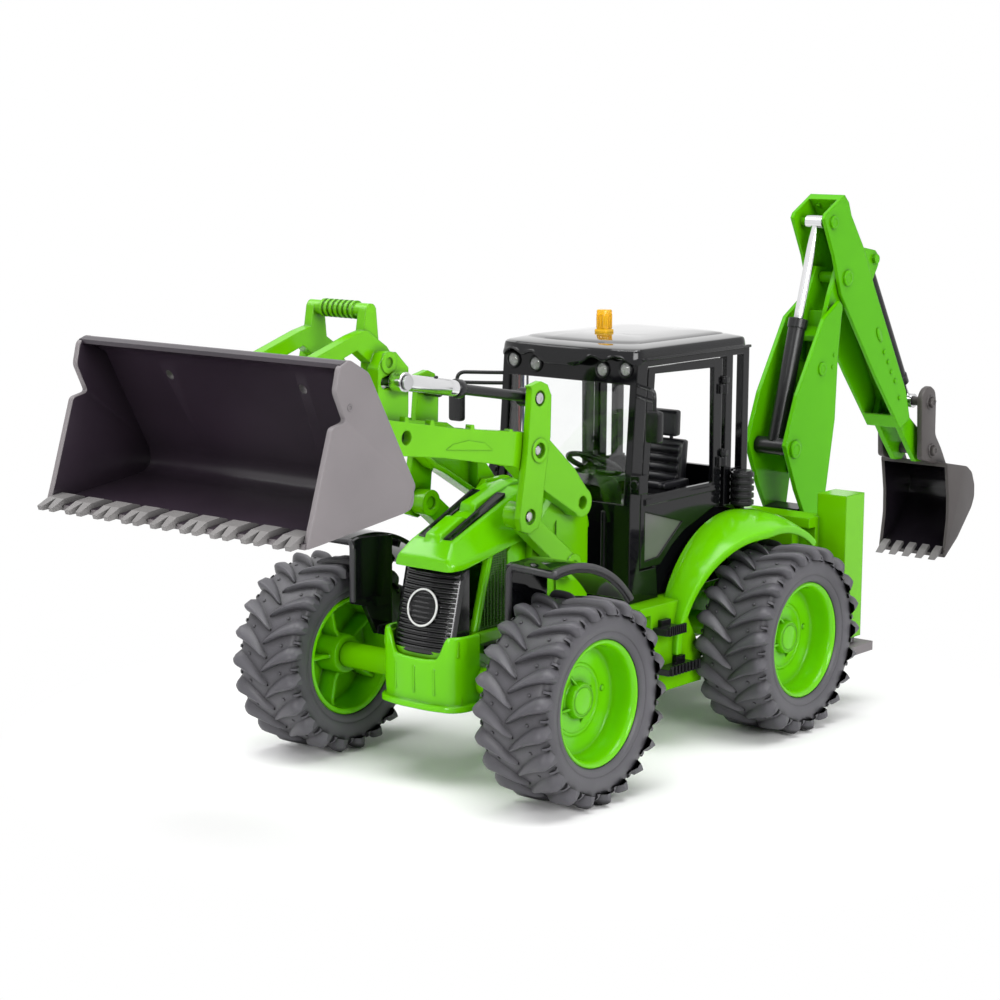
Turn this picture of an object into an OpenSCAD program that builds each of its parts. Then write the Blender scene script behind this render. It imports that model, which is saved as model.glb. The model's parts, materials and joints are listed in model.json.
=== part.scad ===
// Toy backhoe loader, 1:16 class: loader in front, backhoe behind, free rolling wheels.
// Millimetres. X runs forward, Y to the vehicle's left, Z up from the ground.
// Positions are measured from the front axle and shifted to the middle of the length at the end.

/* [Wheels] */
// tyre radius at the lug tips
tyre_r = 45; // [43:0.5:46]
// tyre width over the lugs
tyre_w = 40; // [38:0.5:40.5]
// distance between the axles
wheel_base = 162; // [161:0.25:164]
// lugs on each side of a tread
lug_count = 21; // [16:1:24]

/* [Cab] */
// cab width over the doors
cab_w = 78; // [76:0.5:80]
// height of the beacon
beacon_h = 10.8; // [8:0.2:14]

/* [Loader] */
// clear width between the loader arms
arm_gap = 46; // [46:0.5:50]
// loader bucket width
bucket_w = 146; // [110:1:170]
// teeth on the loader bucket
bucket_teeth_count = 9; // [5:1:11]
// height of the carrying handle above the hitch boss
handle_rise = 24; // [18:0.5:30]

/* [Backhoe] */
// backhoe bucket width
hoe_w = 43; // [36:1:56]
// teeth on the backhoe bucket
hoe_teeth_count = 5; // [3:1:7]
// wall of the dipper and the boom
hoe_wall = 2; // [1.6:0.1:2.2]

/* [Stabilisers] */
// width of a stabiliser column
column_w = 16.5; // [14:0.5:18]
// size of a foot pad
foot_size = 26; // [20:0.5:28]

/* [Fits] */
// radius of the pivot pins
pin_r = 3; // [2.5:0.1:3.2]
// running clearance of a pin in its hole, on the radius
run_gap = 0.05; // [0.02:0.01:0.09]
// gap between pieces that move past each other
move_gap = 0.4; // [0.3:0.05:0.5]

/* [Hidden] */
$fn = 48;

// middle of the length, ahead of the bucket teeth and behind the backhoe bucket
length_mid = -138.3;

// wheels
rear_x = -wheel_base;
wheel_y = 70.5;
tread_r = tyre_r - 4.2;
bead_r = 27.7;
rim_half = 15.2;
axle_r = 6;
stub_r = 5;
hub_in = -12;
hub_end = 1.5;

// chassis levels
spine_half = 19;
spine_bottom = 36;
deck_z = 64;
deck_t = 4;
sill_in = 36;
sill_out = 50;
ledge_z = 66.5;
ledge_half = 22;

// cab
cab_half = cab_w / 2;
cab_front = -84;
cab_back = -180;
cab_floor = deck_z + deck_t;
cab_sill = 114;
cab_top = 179.6;
cab_lean = 4.6;
rail_t = 3;
pillar = 3.8;
door_t = 2.4;
door_front = -92;
hinge_x = -158;
hinge_y = cab_half + 0.3;
hinge_r = 1.3;
knuckle_r = hinge_r + 0.8;
post_edge = hinge_x - knuckle_r - move_gap;
hinge_z = [126.5, 161.5];
roof_top = 188.6;
head_z = 168.6;
lamp_r = 3.9;
lamp_at = [[-32.6, 175.6], [-19.5, 174.6], [19.5, 174.6], [32.6, 175.6]];
head_x = front_x(lamp_at[0][1]);

// loader linkage, pivots in the side view
arm_pivot = [-59.8, 117.6];
crank_pivot = [-23.2, 145.6];
crank_low = [-17.4, 116.9];
crank_high = [-23.5, 168.4];
hitch_pivot = [60.2, 159.4];
hitch_eye = hitch_pivot + crank_high - crank_pivot;
link_pivot = arm_pivot + crank_low - crank_pivot;
arm_in = arm_gap / 2;
arm_t = 7.4;
arm_out = arm_in + arm_t;
arm_wall = 2;
crank_in = arm_out + move_gap;
crank_out = crank_in + 3.2;
tower_out = arm_in - move_gap;
hitch_out = arm_in - move_gap;
hitch_in = hitch_out - 5;
ram_y = arm_in + 3.6;
rod_r = 2.3;
ram_play = 0.1;
barrel_r = rod_r + ram_play + 1.1;
tilt_span = norm(hitch_eye - crank_high);
tilt_tube = 39;
tilt_rod_end = 61;
tilt_dir = aim(crank_high, hitch_eye);
tilt_swing = 12;
shell_low = [103, 149.2];
shell_high = [129.8, 195.3];
screw_r = 2;
screw_cup = 3.5;

// backhoe, pivots in the side view
post_x = -246;
boom_pivot = [-284, 78];
tube_pivot = [-266, 118.5];
dipper_pivot = [-316.5, 204.1];
ram_top = [-301, 234];
hoe_ram_base = [-350.5, 212.5];
hoe_pivot = [-407.5, 102.2];
hoe_eye = [-403.8, 130];
boom_half = 12.8;
boom_in = boom_half - hoe_wall - 0.4;
dipper_half = 10.5;
dipper_in = dipper_half - hoe_wall;
tongue_half = dipper_in - move_gap;
hoe_rod_r = 2.5;
hoe_play = 0.9;
hoe_tube_r = hoe_rod_r + hoe_play + 1.2;
dipper_lean = 0.13;
dipper_dir = aim(tube_pivot, ram_top) + dipper_lean;
curl_rod_r = 1.9;
curl_play = 1.08;
curl_tube_r = curl_rod_r + curl_play + 0.7;
curl_tube = 85;
curl_lean = 0.4;
curl_dir = aim(hoe_ram_base, hoe_eye) + curl_lean;
ear_t = 3.4;
ear_out = dipper_half + move_gap + ear_t;
ear_in = ear_out - ear_t;

// rear frame and stabilisers
post_lugs = [[58, 63.5], [80.5, 86]];
frame_x = -206;
frame_back = -213;
frame_top = 94.4;
column_in = 58;
column_x0 = -232;
column_x1 = -215;
column_top = 106;
column_bottom = 34;
column_wall = 1.8;
foot_top = 30.5;
foot_t = 4.5;

// direction in degrees from one side view point to another
function aim(a, b) = atan2(b[1] - a[1], b[0] - a[0]);
// a vector turned by an angle, counted from x towards z
function turned(v, a) = [v[0] * cos(a) - v[1] * sin(a), v[0] * sin(a) + v[1] * cos(a)];
// face of the leaning cab front at a given height
function front_x(z) = cab_front - cab_lean * (z - cab_sill) / (cab_top - cab_sill);
// strip of that face between two heights, t thick
function front_strip(z0, z1, t) = [[front_x(z0), z0], [front_x(z1), z1], [front_x(z1) - t, z1], [front_x(z0) - t, z0]];
// height of the bonnet ridge at a given x
function ridge_z(x) = 109.8 - 0.402 * x;

// plate with a side view outline, between two widths
module slab(pts, y0, y1) translate([0, y1, 0]) rotate([90, 0, 0]) linear_extrude(y1 - y0) polygon(pts);
// plate with a top view outline, between two heights
module plan(pts, z0, z1) translate([0, 0, z0]) linear_extrude(z1 - z0) polygon(pts);
// plate with a front view outline, between two lengths
module across(pts, x0, x1) translate([x0, 0, 0]) rotate([90, 0, 90]) linear_extrude(x1 - x0) polygon(pts);
// round bar across the vehicle at a side view point
module bar(p, r, y0, y1) translate([p[0], y0, p[1]]) rotate([-90, 0, 0]) cylinder(h = y1 - y0, r = r);
// round bar in the side view plane, from a point in a direction
module stick(p, dir, r, a, b, y = 0)
    translate([p[0], y, p[1]]) rotate([0, -dir, 0]) translate([a, 0, 0]) rotate([0, 90, 0]) cylinder(h = b - a, r = r);
module block(x, y, z) translate([x[0], y[0], z[0]]) cube([x[1] - x[0], y[1] - y[0], z[1] - z[0]]);
module both() {
    children();
    mirror([0, 1, 0]) children();
}
module shifted() translate([-length_mid, 0, 0]) children();
module side_of(s) mirror([0, s < 0 ? 1 : 0, 0]) children();

// Wheels

// middle line of a lug: lead around the tread, place across it, half thickness
lug_line = [[5.4, -1.2, 0.9], [2.2, 4, 1.2], [-0.4, 9, 1.5], [-2.4, 14, 1.8], [-3.8, tyre_w / 2, 2.1]];
lug_reach = lug_line[0][0] + lug_line[0][2];
lug_top = sqrt(tyre_r * tyre_r - lug_reach * lug_reach);
lug_foot = 36.6;
module lug_part(line, s, low, high) translate([0, 0, low]) linear_extrude(high - low) polygon(concat(
    [for (p = line) [p[0] - p[2], s * p[1]]], [for (i = [len(line) - 1:-1:0]) [line[i][0] + line[i][2], s * line[i][1]]]));
// a curved lug and the block in which it ends on the shoulder
module lug(s) {
    lug_part(lug_line, s, tread_r - 1.5, lug_top);
    lug_part([lug_line[3], lug_line[4]], s, lug_foot, tread_r);
}

module tyre_ring() {
    half = tyre_w / 2 - 3;
    rotate([-90, 0, 0]) rotate_extrude($fn = 96) polygon([
        [bead_r, -rim_half], [29.6, -half + 0.5], [35, -half], [37.4, -half + 0.3], [tread_r - 1.4, -half + 1.8],
        [tread_r - 0.3, -half + 5], [tread_r + 0.2, 0], [tread_r - 0.3, half - 5],
        [tread_r - 1.4, half - 1.8], [37.4, half - 0.3], [35, half], [29.6, half - 0.5], [bead_r, rim_half]]);
    for (i = [0:lug_count - 1]) {
        rotate([0, i * 360 / lug_count, 0]) lug(1);
        rotate([0, (i + 0.5) * 360 / lug_count, 0]) lug(-1);
    }
}

module rim_dish() {
    bore = stub_r + run_gap;
    hub = 9;
    disc = 2.8;
    boss = 7.6;
    boss_y = 6.6;
    rotate([-90, 0, 0]) rotate_extrude($fn = 96) polygon([
        [bore, hub_in], [hub, hub_in], [hub, 0.6], [24.2, 0.6], [25, -rim_half], [bead_r, -rim_half],
        [bead_r, rim_half], [bead_r - 1.1, rim_half], [24.4, rim_half - 2.6], [24.2, disc], [boss, disc],
        [boss, boss_y], [6.8, boss_y], [6.8, boss_y - 0.5], [5.8, boss_y - 0.5], [5.8, boss_y],
        [0, boss_y], [0, hub_end], [bore, hub_end]]);
    for (i = [0:4]) rotate([0, i * 72, 0]) block([hub - 0.4, 24.8], [-9, 0.8], [-0.8, 0.8]);
    for (i = [0:3]) rotate([0, i * 90 + 20, 0])
        translate([0, 0, -0.7]) linear_extrude(1.4) polygon([[boss - 0.3, 2.6], [12.4, 2.6], [boss - 0.3, 5.6]]);
}

module wheel_place(x, s) shifted() translate([x, 0, tyre_r]) side_of(s) translate([0, wheel_y, 0]) children();
module tyre(x, s) color("#3b3b3d") wheel_place(x, s) tyre_ring();
module rim(x, s) color("#3fc412") wheel_place(x, s) rim_dish();

// axle stub for one wheel, from the beam out to the closed end of the hub
module axle_stub(x) {
    bar([x, tyre_r], axle_r, spine_half - 1, wheel_y + hub_in - move_gap);
    bar([x, tyre_r], stub_r, wheel_y + hub_in - 1, wheel_y + hub_end - move_gap);
}

// Chassis and front

module chassis() color("#3fc412") shifted() {
    difference() {
        block([frame_x, 2], [-spine_half, spine_half], [spine_bottom, deck_z]);
        block([frame_x + 3, -1], [-spine_half + 2.5, spine_half - 2.5], [spine_bottom - 1, deck_z - 3]);
        bar([0, tyre_r], axle_r + 2.2, -30, 30);
    }
    block([-20, 2], [-ledge_half, ledge_half], [deck_z - 2, ledge_z]);
    block([-77, -28], [-ledge_half, ledge_half], [deck_z - 2, ledge_z]);
    plan([[-78, -sill_out], [-112, -sill_out], [-118, -sill_in], [-186, -sill_in], [-186, sill_in],
        [-118, sill_in], [-112, sill_out], [-78, sill_out]], deck_z, cab_floor);
    both() slab([[-86, deck_z + 1], [-90, 30], [-95, 26.5], [-128, 26.5], [-128, 40], [-112, deck_z + 1]],
        sill_in, sill_out);
    block([-128, -88], [-sill_in - 1, sill_in + 1], [spine_bottom, 44]);
    both() axle_stub(rear_x);
}

module front_axle_block() color("#3fc412") shifted() {
    nose_x = 18;
    nose = [[2, -21.7], [14, -21.7], [16.8, -18], [nose_x, -9], [nose_x, 9], [16.8, 18], [14, 21.7], [2, 21.7]];
    intersection() {
        slab([[2, 34], [12.5, 34], [15.8, 39], [nose_x, 55], [nose_x, bumper_top], [2, bumper_top]], -22, 22);
        plan(nose, 30, 70);
    }
    both() slab([[4, bumper_top - 1], [16.4, bumper_top - 1], [15.9, 64.8], [5.4, 64.8]], grille_half + 0.3, 21.4);
    for (y = [-11, 0, 11]) slab([[15, 40], [16.7, 41], [18.6, 53], [15, 53]], y - 0.5, y + 0.5);
    bar([0, tyre_r], axle_r + 2.2, -spine_half, spine_half);
    block([0, 3], [-16, 16], [40, 50]);
    both() axle_stub(0);
}

module hood_slice(x, bottom, half, top, ridge)
    across([[-half, bottom], [half, bottom], [ridge, top], [-ridge, top]], x - 0.05, x + 0.05);
// outer bonnet form, or the hollow inside it when t is the wall
module hood_form(t) {
    hull() {
        hood_slice(14.6 - t, 94.8 - t, 9 - t, 99.2 - t, 8 - t);
        hood_slice(7.4 - t, 94.8 - t, 17.8 - t, 98.8 - t, 17 - t);
        hood_slice(8.5 - t, 94.8 - t, 12 - t, ridge_z(8.5) - t, 11 - t);
        hood_slice(-26, 103 - 2 * t, 21 - t, ridge_z(-26) - t, 11 - t);
    }
    hull() {
        hood_slice(-25.9, 103 - 2 * t, 21 - t, ridge_z(-26) - t, 11 - t);
        hood_slice(-38, 103 - 2 * t, 21 - t, ridge_z(-38) - t, 11 - t);
        hood_slice(-77 + t, 103 - 2 * t, 21 - t, ridge_z(-38) - t, 12 - t);
    }
}
strip_in = 4.4;
strip_out = 10;
strip_depth = 1;
module strip_slot(drop)
    slab([[8.5, ridge_z(8.5) - drop], [8.5, ridge_z(8.5) + 5], [-30, ridge_z(-30) + 5], [-30, ridge_z(-30) - drop]],
        strip_in, strip_out);

module hood() color("#3fc412") shifted() {
    hood_shell();
    // side walls and slanted pillars under the bonnet
    both() slab([[-20.5, ledge_z], [-20.5, 99], [-27, 106], [-77, 106], [-77, ledge_z]],
        tower_in - 1.4, tower_in);
    both() slab([[1.9, ledge_z], [-7.7, 100], [-11, 100], [-1.4, ledge_z]], 15.4, 18.4);
}
module hood_shell() difference() {
    union() {
        hood_form(0);
        slab([[10, ridge_z(10) - 2], [8, 109], [-6, 115.2], [-10, ridge_z(-10)], [-6, 108]], -strip_in, strip_in);
        slab([[-13, ridge_z(-13) - 3], [-15.6, 119.7], [-41.3, 126.7], [-66, 127.4], [-70, 124], [-20, 110]],
            -strip_in, strip_in);
    }
    hood_form(2);
    both() strip_slot(strip_depth);
    both() slab(tower_plate, tower_in, tower_in + 20);
}

module hood_strips() color("#151515") shifted() both()
    slab([[8.5, ridge_z(8.5) - strip_depth], [8.5, ridge_z(8.5) - 0.3], [-24, ridge_z(-24) - 0.3],
        [-25, ridge_z(-25) + 1.6], [-30, ridge_z(-30) + 1.6], [-30, ridge_z(-30) - strip_depth]],
        strip_in, strip_out);

bumper_top = 59;
grille_z = [bumper_top, 94.6];
grille_lean = 10.2;
grille_x = 20;
grille_ribs = 14;
grille_half = 17.4;
badge_r = 8.6;
badge_z = 77;
// set back of the leaning front at a given height
function grille_back(z) = grille_lean * (z - grille_z[0]) / (grille_z[1] - grille_z[0]);
module grille_plan(z0, z1, rear, grow, half) translate([-grille_back(z0), 0, 0]) plan([[rear, -half],
    [grille_x - 3.4 + grow, -half], [grille_x - 0.8 + grow, -half / 2], [grille_x + grow, 0],
    [grille_x - 0.8 + grow, half / 2], [grille_x - 3.4 + grow, half], [rear, half]], z0, z1);
module grille() color("#1b1b1b") shifted() {
    lean = atan2(grille_lean, grille_z[1] - grille_z[0]);
    hull() {
        grille_plan(grille_z[0], grille_z[0] + 0.1, 4.1, 0, grille_half);
        grille_plan(grille_z[1] - 0.1, grille_z[1], 4.1, 0, grille_half);
    }
    for (i = [0:grille_ribs - 1]) let (z = grille_z[0] + 1.4 + i * (grille_z[1] - grille_z[0] - 2.4) / grille_ribs)
        grille_plan(z, z + 1.1, 10, 0.7, grille_half - 2.6);
    translate([grille_x - grille_back(badge_z), 0, badge_z]) rotate([0, 90 - lean, 0]) difference() {
        translate([0, 0, -2.4]) cylinder(h = 3.8, r = badge_r);
        translate([0, 0, 0.9]) cylinder(h = 4, r = badge_r - 0.9);
    }
}

// panels behind the grille wings, under the flared edge of the bonnet
// height of the bonnet's lower edge at a given x
function hood_edge(x) = 94.8 + (7.4 - x) * 8.2 / 33.4;
mesh_side = [[-1.4, ledge_z], [-10.8, hood_edge(-10.8)], [-20.5, hood_edge(-20.5)], [-20.5, ledge_z]];
module side_meshes() color("#20301c") shifted() both() {
    slab(mesh_side, 17.2, 18.2);
    for (i = [0:6]) let (x = -4.2 - i * 2.3, top = min(84 + i * 2, ledge_z - (x + 1.4) * 3.48 - 0.5))
        block([x - 0.8, x], [18, 18.7], [ledge_z + 1.5, top]);
}

tower_in = ledge_half - 3.2;
tower_plate = [[-30, ledge_z], [-74, ledge_z], [-74, 108], [-68, 124], [-52, 124], [-34, 106]];
module loader_tower() color("#3fc412") shifted() {
    both() {
        difference() {
            slab(tower_plate, tower_in, tower_out);
            slab([[-50.6, 70], [-48.6, 70], [-48.6, 108], [-50.6, 110]], tower_out - 0.8, tower_out + 1);
        }
        bar(arm_pivot, pin_r, tower_out - 1, arm_out - 3.4);
        bar(link_pivot, pin_r, tower_out - 1, arm_out - 1);
    }
}

fender_in = 46;
fender_out = 70;
// arch over a wheel: a shell of revolution between two angles, counted from straight ahead
module arch(x, profile, from, to)
    translate([x, 0, tyre_r]) rotate([90, 0, 0]) mirror([0, 0, 1]) rotate([0, 0, from])
        rotate_extrude(angle = to - from, $fn = 96) polygon(profile);

module front_fender(s) color("#17181a") shifted() side_of(s) {
    arch(0, [[55.6, fender_in], [57.8, fender_in], [57.8, fender_out - 2], [56.6, fender_out],
        [53.8, fender_out], [53.8, fender_out - 1.8], [55.6, fender_out - 1.8]], 79, 140);
    slab([[11.5, 72], [11.5, 101.2], [8, 102], [-14, 100.6], [-14, 56], [-4, 56], [4, 70]],
        fender_in - 2.4, fender_in + 0.2);
    block([5, 11.5], [fender_in - 1, fender_out - 3], [98.6, 101.2]);
    block([-14, -4], [spine_half, fender_in - 1], [56, 59.6]);
    fender_ribs();
}
// stiffening ribs under the front fender
module fender_ribs() for (a = [96, 112])
    arch(0, [[52.6, fender_in - 0.5], [56, fender_in - 0.5], [56, fender_out - 3], [54.6, fender_out - 3]], a, a + 1.6);

rear_arch_in = 41;
rear_arch_top = 58;
fender_end = 128;
module rear_fender(s) color("#3fc412") shifted() side_of(s) {
    difference() {
        rear_arch(-2, fender_end);
        // the outer edge narrows towards the front
        plan([[-156, 90], [-156, 71], [-140, 66], [-125, 60.8], [-110, 54.6], [-104, 50.4], [-90, 44], [-90, 90]], 20, 120);
        block([-130, -90], [30, sill_out + 0.02], [20, cab_floor + 0.02]);
    }
    arch(rear_x, [[48, rear_arch_in], [rear_arch_top - 1, rear_arch_in], [rear_arch_top - 1, rear_arch_in + 1.6],
        [48, rear_arch_in + 1.6]], 27, fender_end);
}
module rear_arch(from, to)
    arch(rear_x, [[rear_arch_top - 2, rear_arch_in], [rear_arch_top, rear_arch_in], [rear_arch_top + 0.6, 47],
        [rear_arch_top - 0.4, 56], [rear_arch_top - 2.4, 64], [rear_arch_top - 5, fender_out],
        [rear_arch_top - 8.5, fender_out + 0.6], [rear_arch_top - 8.5, fender_out - 1.2],
        [rear_arch_top - 6.4, fender_out - 1.2], [rear_arch_top - 4.2, 63], [rear_arch_top - 2.4, 55],
        [rear_arch_top - 1.4, 47]], from, to);

// Cab

door_edge = [[hinge_x + 0.8, 106.3], [-148, 104], [-138, 100.5], [-128, 97.5], [-118, 91.5], [-108.5, 83.5]];
module cab() color("#111214") shifted() {
    inner = cab_half - door_t - 0.6;
    // front wall under the windscreen
    block([cab_front - 3, cab_front], [-cab_half + 1, cab_half - 1], [cab_floor, cab_sill]);
    for (y = [-24, -8, 8, 24]) block([cab_front - 0.2, cab_front + 0.8], [y - 0.8, y + 0.8], [cab_floor + 2, cab_sill - 4]);
    // roof frame
    difference() {
        block([cab_back, head_x - 4], [-cab_half, cab_half], [cab_top - rail_t, cab_top]);
        block([cab_back + 5, head_x - 5.6], [-cab_half + pillar, cab_half - pillar], [cab_top - 6, cab_top + 1]);
    }
    // lamp panel over the windscreen and the front pillars
    difference() {
        union() {
            slab(front_strip(head_z, cab_top, 4), -cab_half, cab_half);
            both() slab(front_strip(cab_sill - 0.5, cab_top, cab_front - door_front), cab_half - pillar, cab_half);
        }
        for (p = lamp_at) translate([head_x - 4, p[0], p[1]]) rotate([0, 90, 0]) cylinder(h = 12, r = lamp_r);
    }
    // rear wall under the rear window
    block([cab_back, cab_back + 3], [-cab_half + 1, cab_half - 1], [cab_floor, 120]);
    both() {
        block([door_front, cab_front], [cab_half - pillar, cab_half], [cab_floor, cab_sill]);
        block([-166, post_edge], [cab_half - pillar, cab_half], [104, cab_top]);
        block([cab_back, cab_back + 5], [cab_half - pillar, cab_half], [104, cab_top]);
        // lower quarter behind the door, resting on the fender
        slab([[cab_back, cab_floor], [cab_back, 121], [-166, 121], [-166, 106], [hinge_x + 3.6, 104.8], [-148, 102.6],
            [-138, 99], [-128, 96], [-118, 90], [-108.6, 82], [door_front, 82], [door_front, cab_floor]],
            inner - 2, inner);
        slab([[door_front + 1, cab_floor], [door_front + 1, 82.4], [-105, 82.4], [-107, cab_floor]], inner - 1, cab_half);
        // hinge knuckles on the rear post
        for (z = hinge_z) difference() {
            union() {
                translate([hinge_x, hinge_y, z + 2.6]) cylinder(h = 2.6, r = knuckle_r);
                block([post_edge - 1, hinge_x], [hinge_y - knuckle_r, hinge_y + 1], [z + 2.6, z + 5.2]);
            }
            translate([hinge_x, hinge_y, z]) cylinder(h = 8, r = hinge_r + run_gap);
        }
    }
}

module roof_lamps() color("#e8e8e8") shifted() for (p = lamp_at) {
    translate([head_x - 4, p[0], p[1]]) rotate([0, 90, 0]) cylinder(h = 4.6, r = lamp_r);
    translate([head_x + 0.6, p[0], p[1]]) rotate([0, 90, 0]) cylinder(h = 0.8, r = lamp_r - 0.7);
}

module roof_slice(inset, front, z) let (half = cab_half - inset) plan([
    [front - 6, -half], [front - 2, -half + 9], [front, -13], [front, 13], [front - 2, half - 9], [front - 6, half],
    [cab_back + 4 + inset, half], [cab_back + inset, half - 6],
    [cab_back + inset, -half + 6], [cab_back + 4 + inset, -half]], z - 0.05, z);
// arches in the roof's front edge above the lamps: width position, centre height, radius
brow = [[17.4, 176.8, 4.6], [30.4, 176.4, 6.6]];
module roof() color("#0e0f10") shifted() {
    difference() {
        hull() {
            roof_slice(0, -82, cab_top + 0.05);
            roof_slice(-0.6, -81.6, cab_top + 1.6);
            roof_slice(1.4, -84, cab_top + 5);
            roof_slice(5, -88, cab_top + 7);
            roof_slice(16, -100, roof_top);
        }
        both() for (b = brow) translate([head_x - 3, b[0], b[1]]) rotate([0, 90, 0]) cylinder(h = 20, r = b[2]);
    }
    both() block([cab_back + 1, -92], [cab_half - 1, cab_half + 2], [cab_top, cab_top + 1.4]);
}

beacon_at = [-115, 0];
beacon_half = [2.7, 3];
module beacon() color("#ffa400") shifted() translate([beacon_at[0], beacon_at[1], roof_top]) {
    block([-beacon_half[0], beacon_half[0]], [-beacon_half[1], beacon_half[1]], [0, beacon_h]);
    block([-beacon_half[0] - 0.5, beacon_half[0] + 0.5], [-beacon_half[1] - 0.5, beacon_half[1] + 0.5], [0, 1.6]);
}

module windscreen() color("#dfe8ea") shifted() slab([for (z = [cab_sill, head_z]) [front_x(z) - 1, z],
    for (z = [head_z, cab_sill]) [front_x(z) - 2, z]], -cab_half + pillar, cab_half - pillar);

dash_half = 20;
module dashboard() color("#141516") shifted() {
    slab([[cab_front - 3, cab_floor], [cab_front - 3, 121], [-99, 123.5], [-104, 116], [-100, cab_floor]],
        -dash_half, dash_half);
    stick(column_foot, column_dir, 2.4, -3, column_len);
    stick(column_foot, column_dir, column_pin, 0, column_len + 1.8);
}

column_foot = [-104, 118];
column_dir = 118;
column_len = 8.2;
column_pin = 1.2;
wheel_hub = column_foot + column_len * [cos(column_dir), sin(column_dir)];
module steering_wheel() color("#101112") shifted()
    translate([wheel_hub[0], 0, wheel_hub[1]]) rotate([0, 90 - column_dir, 0]) translate([0, 0, move_gap]) difference() {
        union() {
            rotate_extrude() translate([12.5, 1.4]) circle(r = 1.4, $fn = 24);
            cylinder(h = 2.6, r = 3.4);
            for (a = [90, 210, 330]) rotate([0, 0, a]) block([2.4, 12.4], [-1.1, 1.1], [0.6, 2]);
        }
        translate([0, 0, -1]) cylinder(h = 2.9, r = column_pin + run_gap);
    }

module seat() color("#161617") shifted() {
    block([-166, -142], [-11, 11], [cab_floor, 98]);
    slab([[-169, 98], [-138, 98], [-136, 102], [-138, 106], [-164, 105], [-169, 108]], -14, 14);
    slab([[-165, 103], [-160, 105], [-164, 132], [-168, 132]], -13, 13);
    for (i = [0:4]) slab([[-160.6 - i * 0.7, 109 + i * 4.4], [-159.2 - i * 0.7, 110.4 + i * 4.4],
        [-161.2 - i * 0.7, 112.4 + i * 4.4]], -11, 11);
    slab([[-168, 132], [-163.4, 132], [-164.4, 146], [-168.6, 147]], -8, 8);
    both() block([-160, -142], [13.6, 17], [112, 115]);
    both() block([-166, -158], [12.6, 15], [110, 115]);
}

mirror_y = 57.5;
mirror_x = -76;
module mirrors() color("#121315") shifted() both() {
    for (z = [163, 168]) plan([[front_x(z) - 4, cab_half - 0.02], [front_x(z) - 1, cab_half - 0.02],
        [mirror_x + 1.4, mirror_y - 2], [mirror_x + 1.4, mirror_y + 1.2], [mirror_x - 1.4, mirror_y + 1.2],
        [mirror_x - 1.4, mirror_y - 1]], z, z + 1.8);
    block([mirror_x - 1.2, mirror_x + 1.2], [mirror_y - 1.2, mirror_y + 1.2], [158, 169.8]);
    block([mirror_x - 1.8, mirror_x + 1.8], [mirror_y - 4, mirror_y + 4], [145.4, 160]);
}

module marker_lamps() color("#1a1b1d") shifted() both() {
    block([-91, -84], [cab_half, cab_half + 5], [119.4, 128]);
    translate([-84.2, cab_half + 2.5, 123.7]) rotate([0, 90, 0]) cylinder(h = 1, r = 2.2);
}

duct_ribs = 5;
duct_r = 4.6;
duct_z = 104.4;
duct_pitch = 3.4;
module ribbed_ducts() color("#141414") shifted() both()
    translate([-168, cab_half + duct_r + 1, duct_z]) {
        cylinder(h = duct_ribs * duct_pitch, r = duct_r);
        for (i = [0:duct_ribs - 1]) translate([0, 0, (i + 0.2) * duct_pitch]) cylinder(h = duct_pitch * 0.55, r = duct_r + 1);
    }

step_teeth = 9;
module step(x0, x1, z) {
    block([x0, x1], [sill_out, sill_out + 8], [z, z + 3]);
    for (i = [0:step_teeth - 1]) let (w = (x1 - x0) / step_teeth)
        block([x0 + i * w, x0 + i * w + w / 2], [sill_out + 7.8, sill_out + 9.2], [z, z + 4.4]);
    block([x0 + 3, x0 + 10], [sill_out, sill_out + 2.4], [z + 2.8, z + 6]);
}
module steps() color("#121212") shifted() both() {
    step(-102, -88, 55);
    step(-114, -90, 36);
}

// three wires down the inside of the right front pillar, from the roof to the dashboard
wire_r = 0.55;
wire_turn = 118;
module wires() color("#a01818") shifted() for (i = [0:2])
    let (x = -95 - i * 3.2, y = cab_half - pillar - wire_r) translate([x, -y, wire_turn]) {
        cylinder(h = cab_top - wire_turn, r = wire_r, $fn = 24);
        sphere(r = wire_r, $fn = 24);
        rotate([-90, 0, 0]) cylinder(h = y - dash_half, r = wire_r, $fn = 24);
    }

// Doors, hung on the rear post

module door(s) color("#0f1012") shifted() side_of(s) {
    y0 = cab_half - door_t;
    front = door_front - 0.5;
    door_top = cab_top - rail_t - 0.6;
    difference() {
        slab(concat([[front, 83.4], [front, cab_sill], [front - cab_lean, door_top], [hinge_x + 0.8, door_top]],
            door_edge), y0, cab_half);
        slab([[front - 5, 117], [front - 5 - cab_lean, 173], [hinge_x + 8, 172], [hinge_x + 7, 117]],
            y0 - 1, cab_half + 1);
        slab(pane_outline, y0 - 1, cab_half + 1);
        // room for the knuckles on the post
        for (z = hinge_z) block([hinge_x - 1, hinge_x + knuckle_r + move_gap], [y0 - 1, cab_half + 1], [z + 2.2, z + 5.6]);
    }
    slab([[front - 3, 112.6], [front - 3, 115.4], [hinge_x + 6, 115.4], [hinge_x + 6, 113]], cab_half - 0.2, cab_half + 0.8);
    for (z = hinge_z) {
        translate([hinge_x, hinge_y, z - 2.4]) cylinder(h = 4.6, r = knuckle_r);
        translate([hinge_x, hinge_y, z - 2.4]) cylinder(h = 8.4, r = hinge_r);
        block([hinge_x, hinge_x + 4], [cab_half - 1.2, hinge_y + 1], [z - 2.4, z + 2.2]);
    }
}
pane_outline = [[-96, 109.5], [-126, 101.4], [-117, 94.8], [-107, 87.2], [-96, 86.4]];
module door_pane(s) color("#77797c") shifted() side_of(s)
    slab(pane_outline, cab_half - door_t + 0.4, cab_half - 0.6);

// Rear frame and stabilisers

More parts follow.
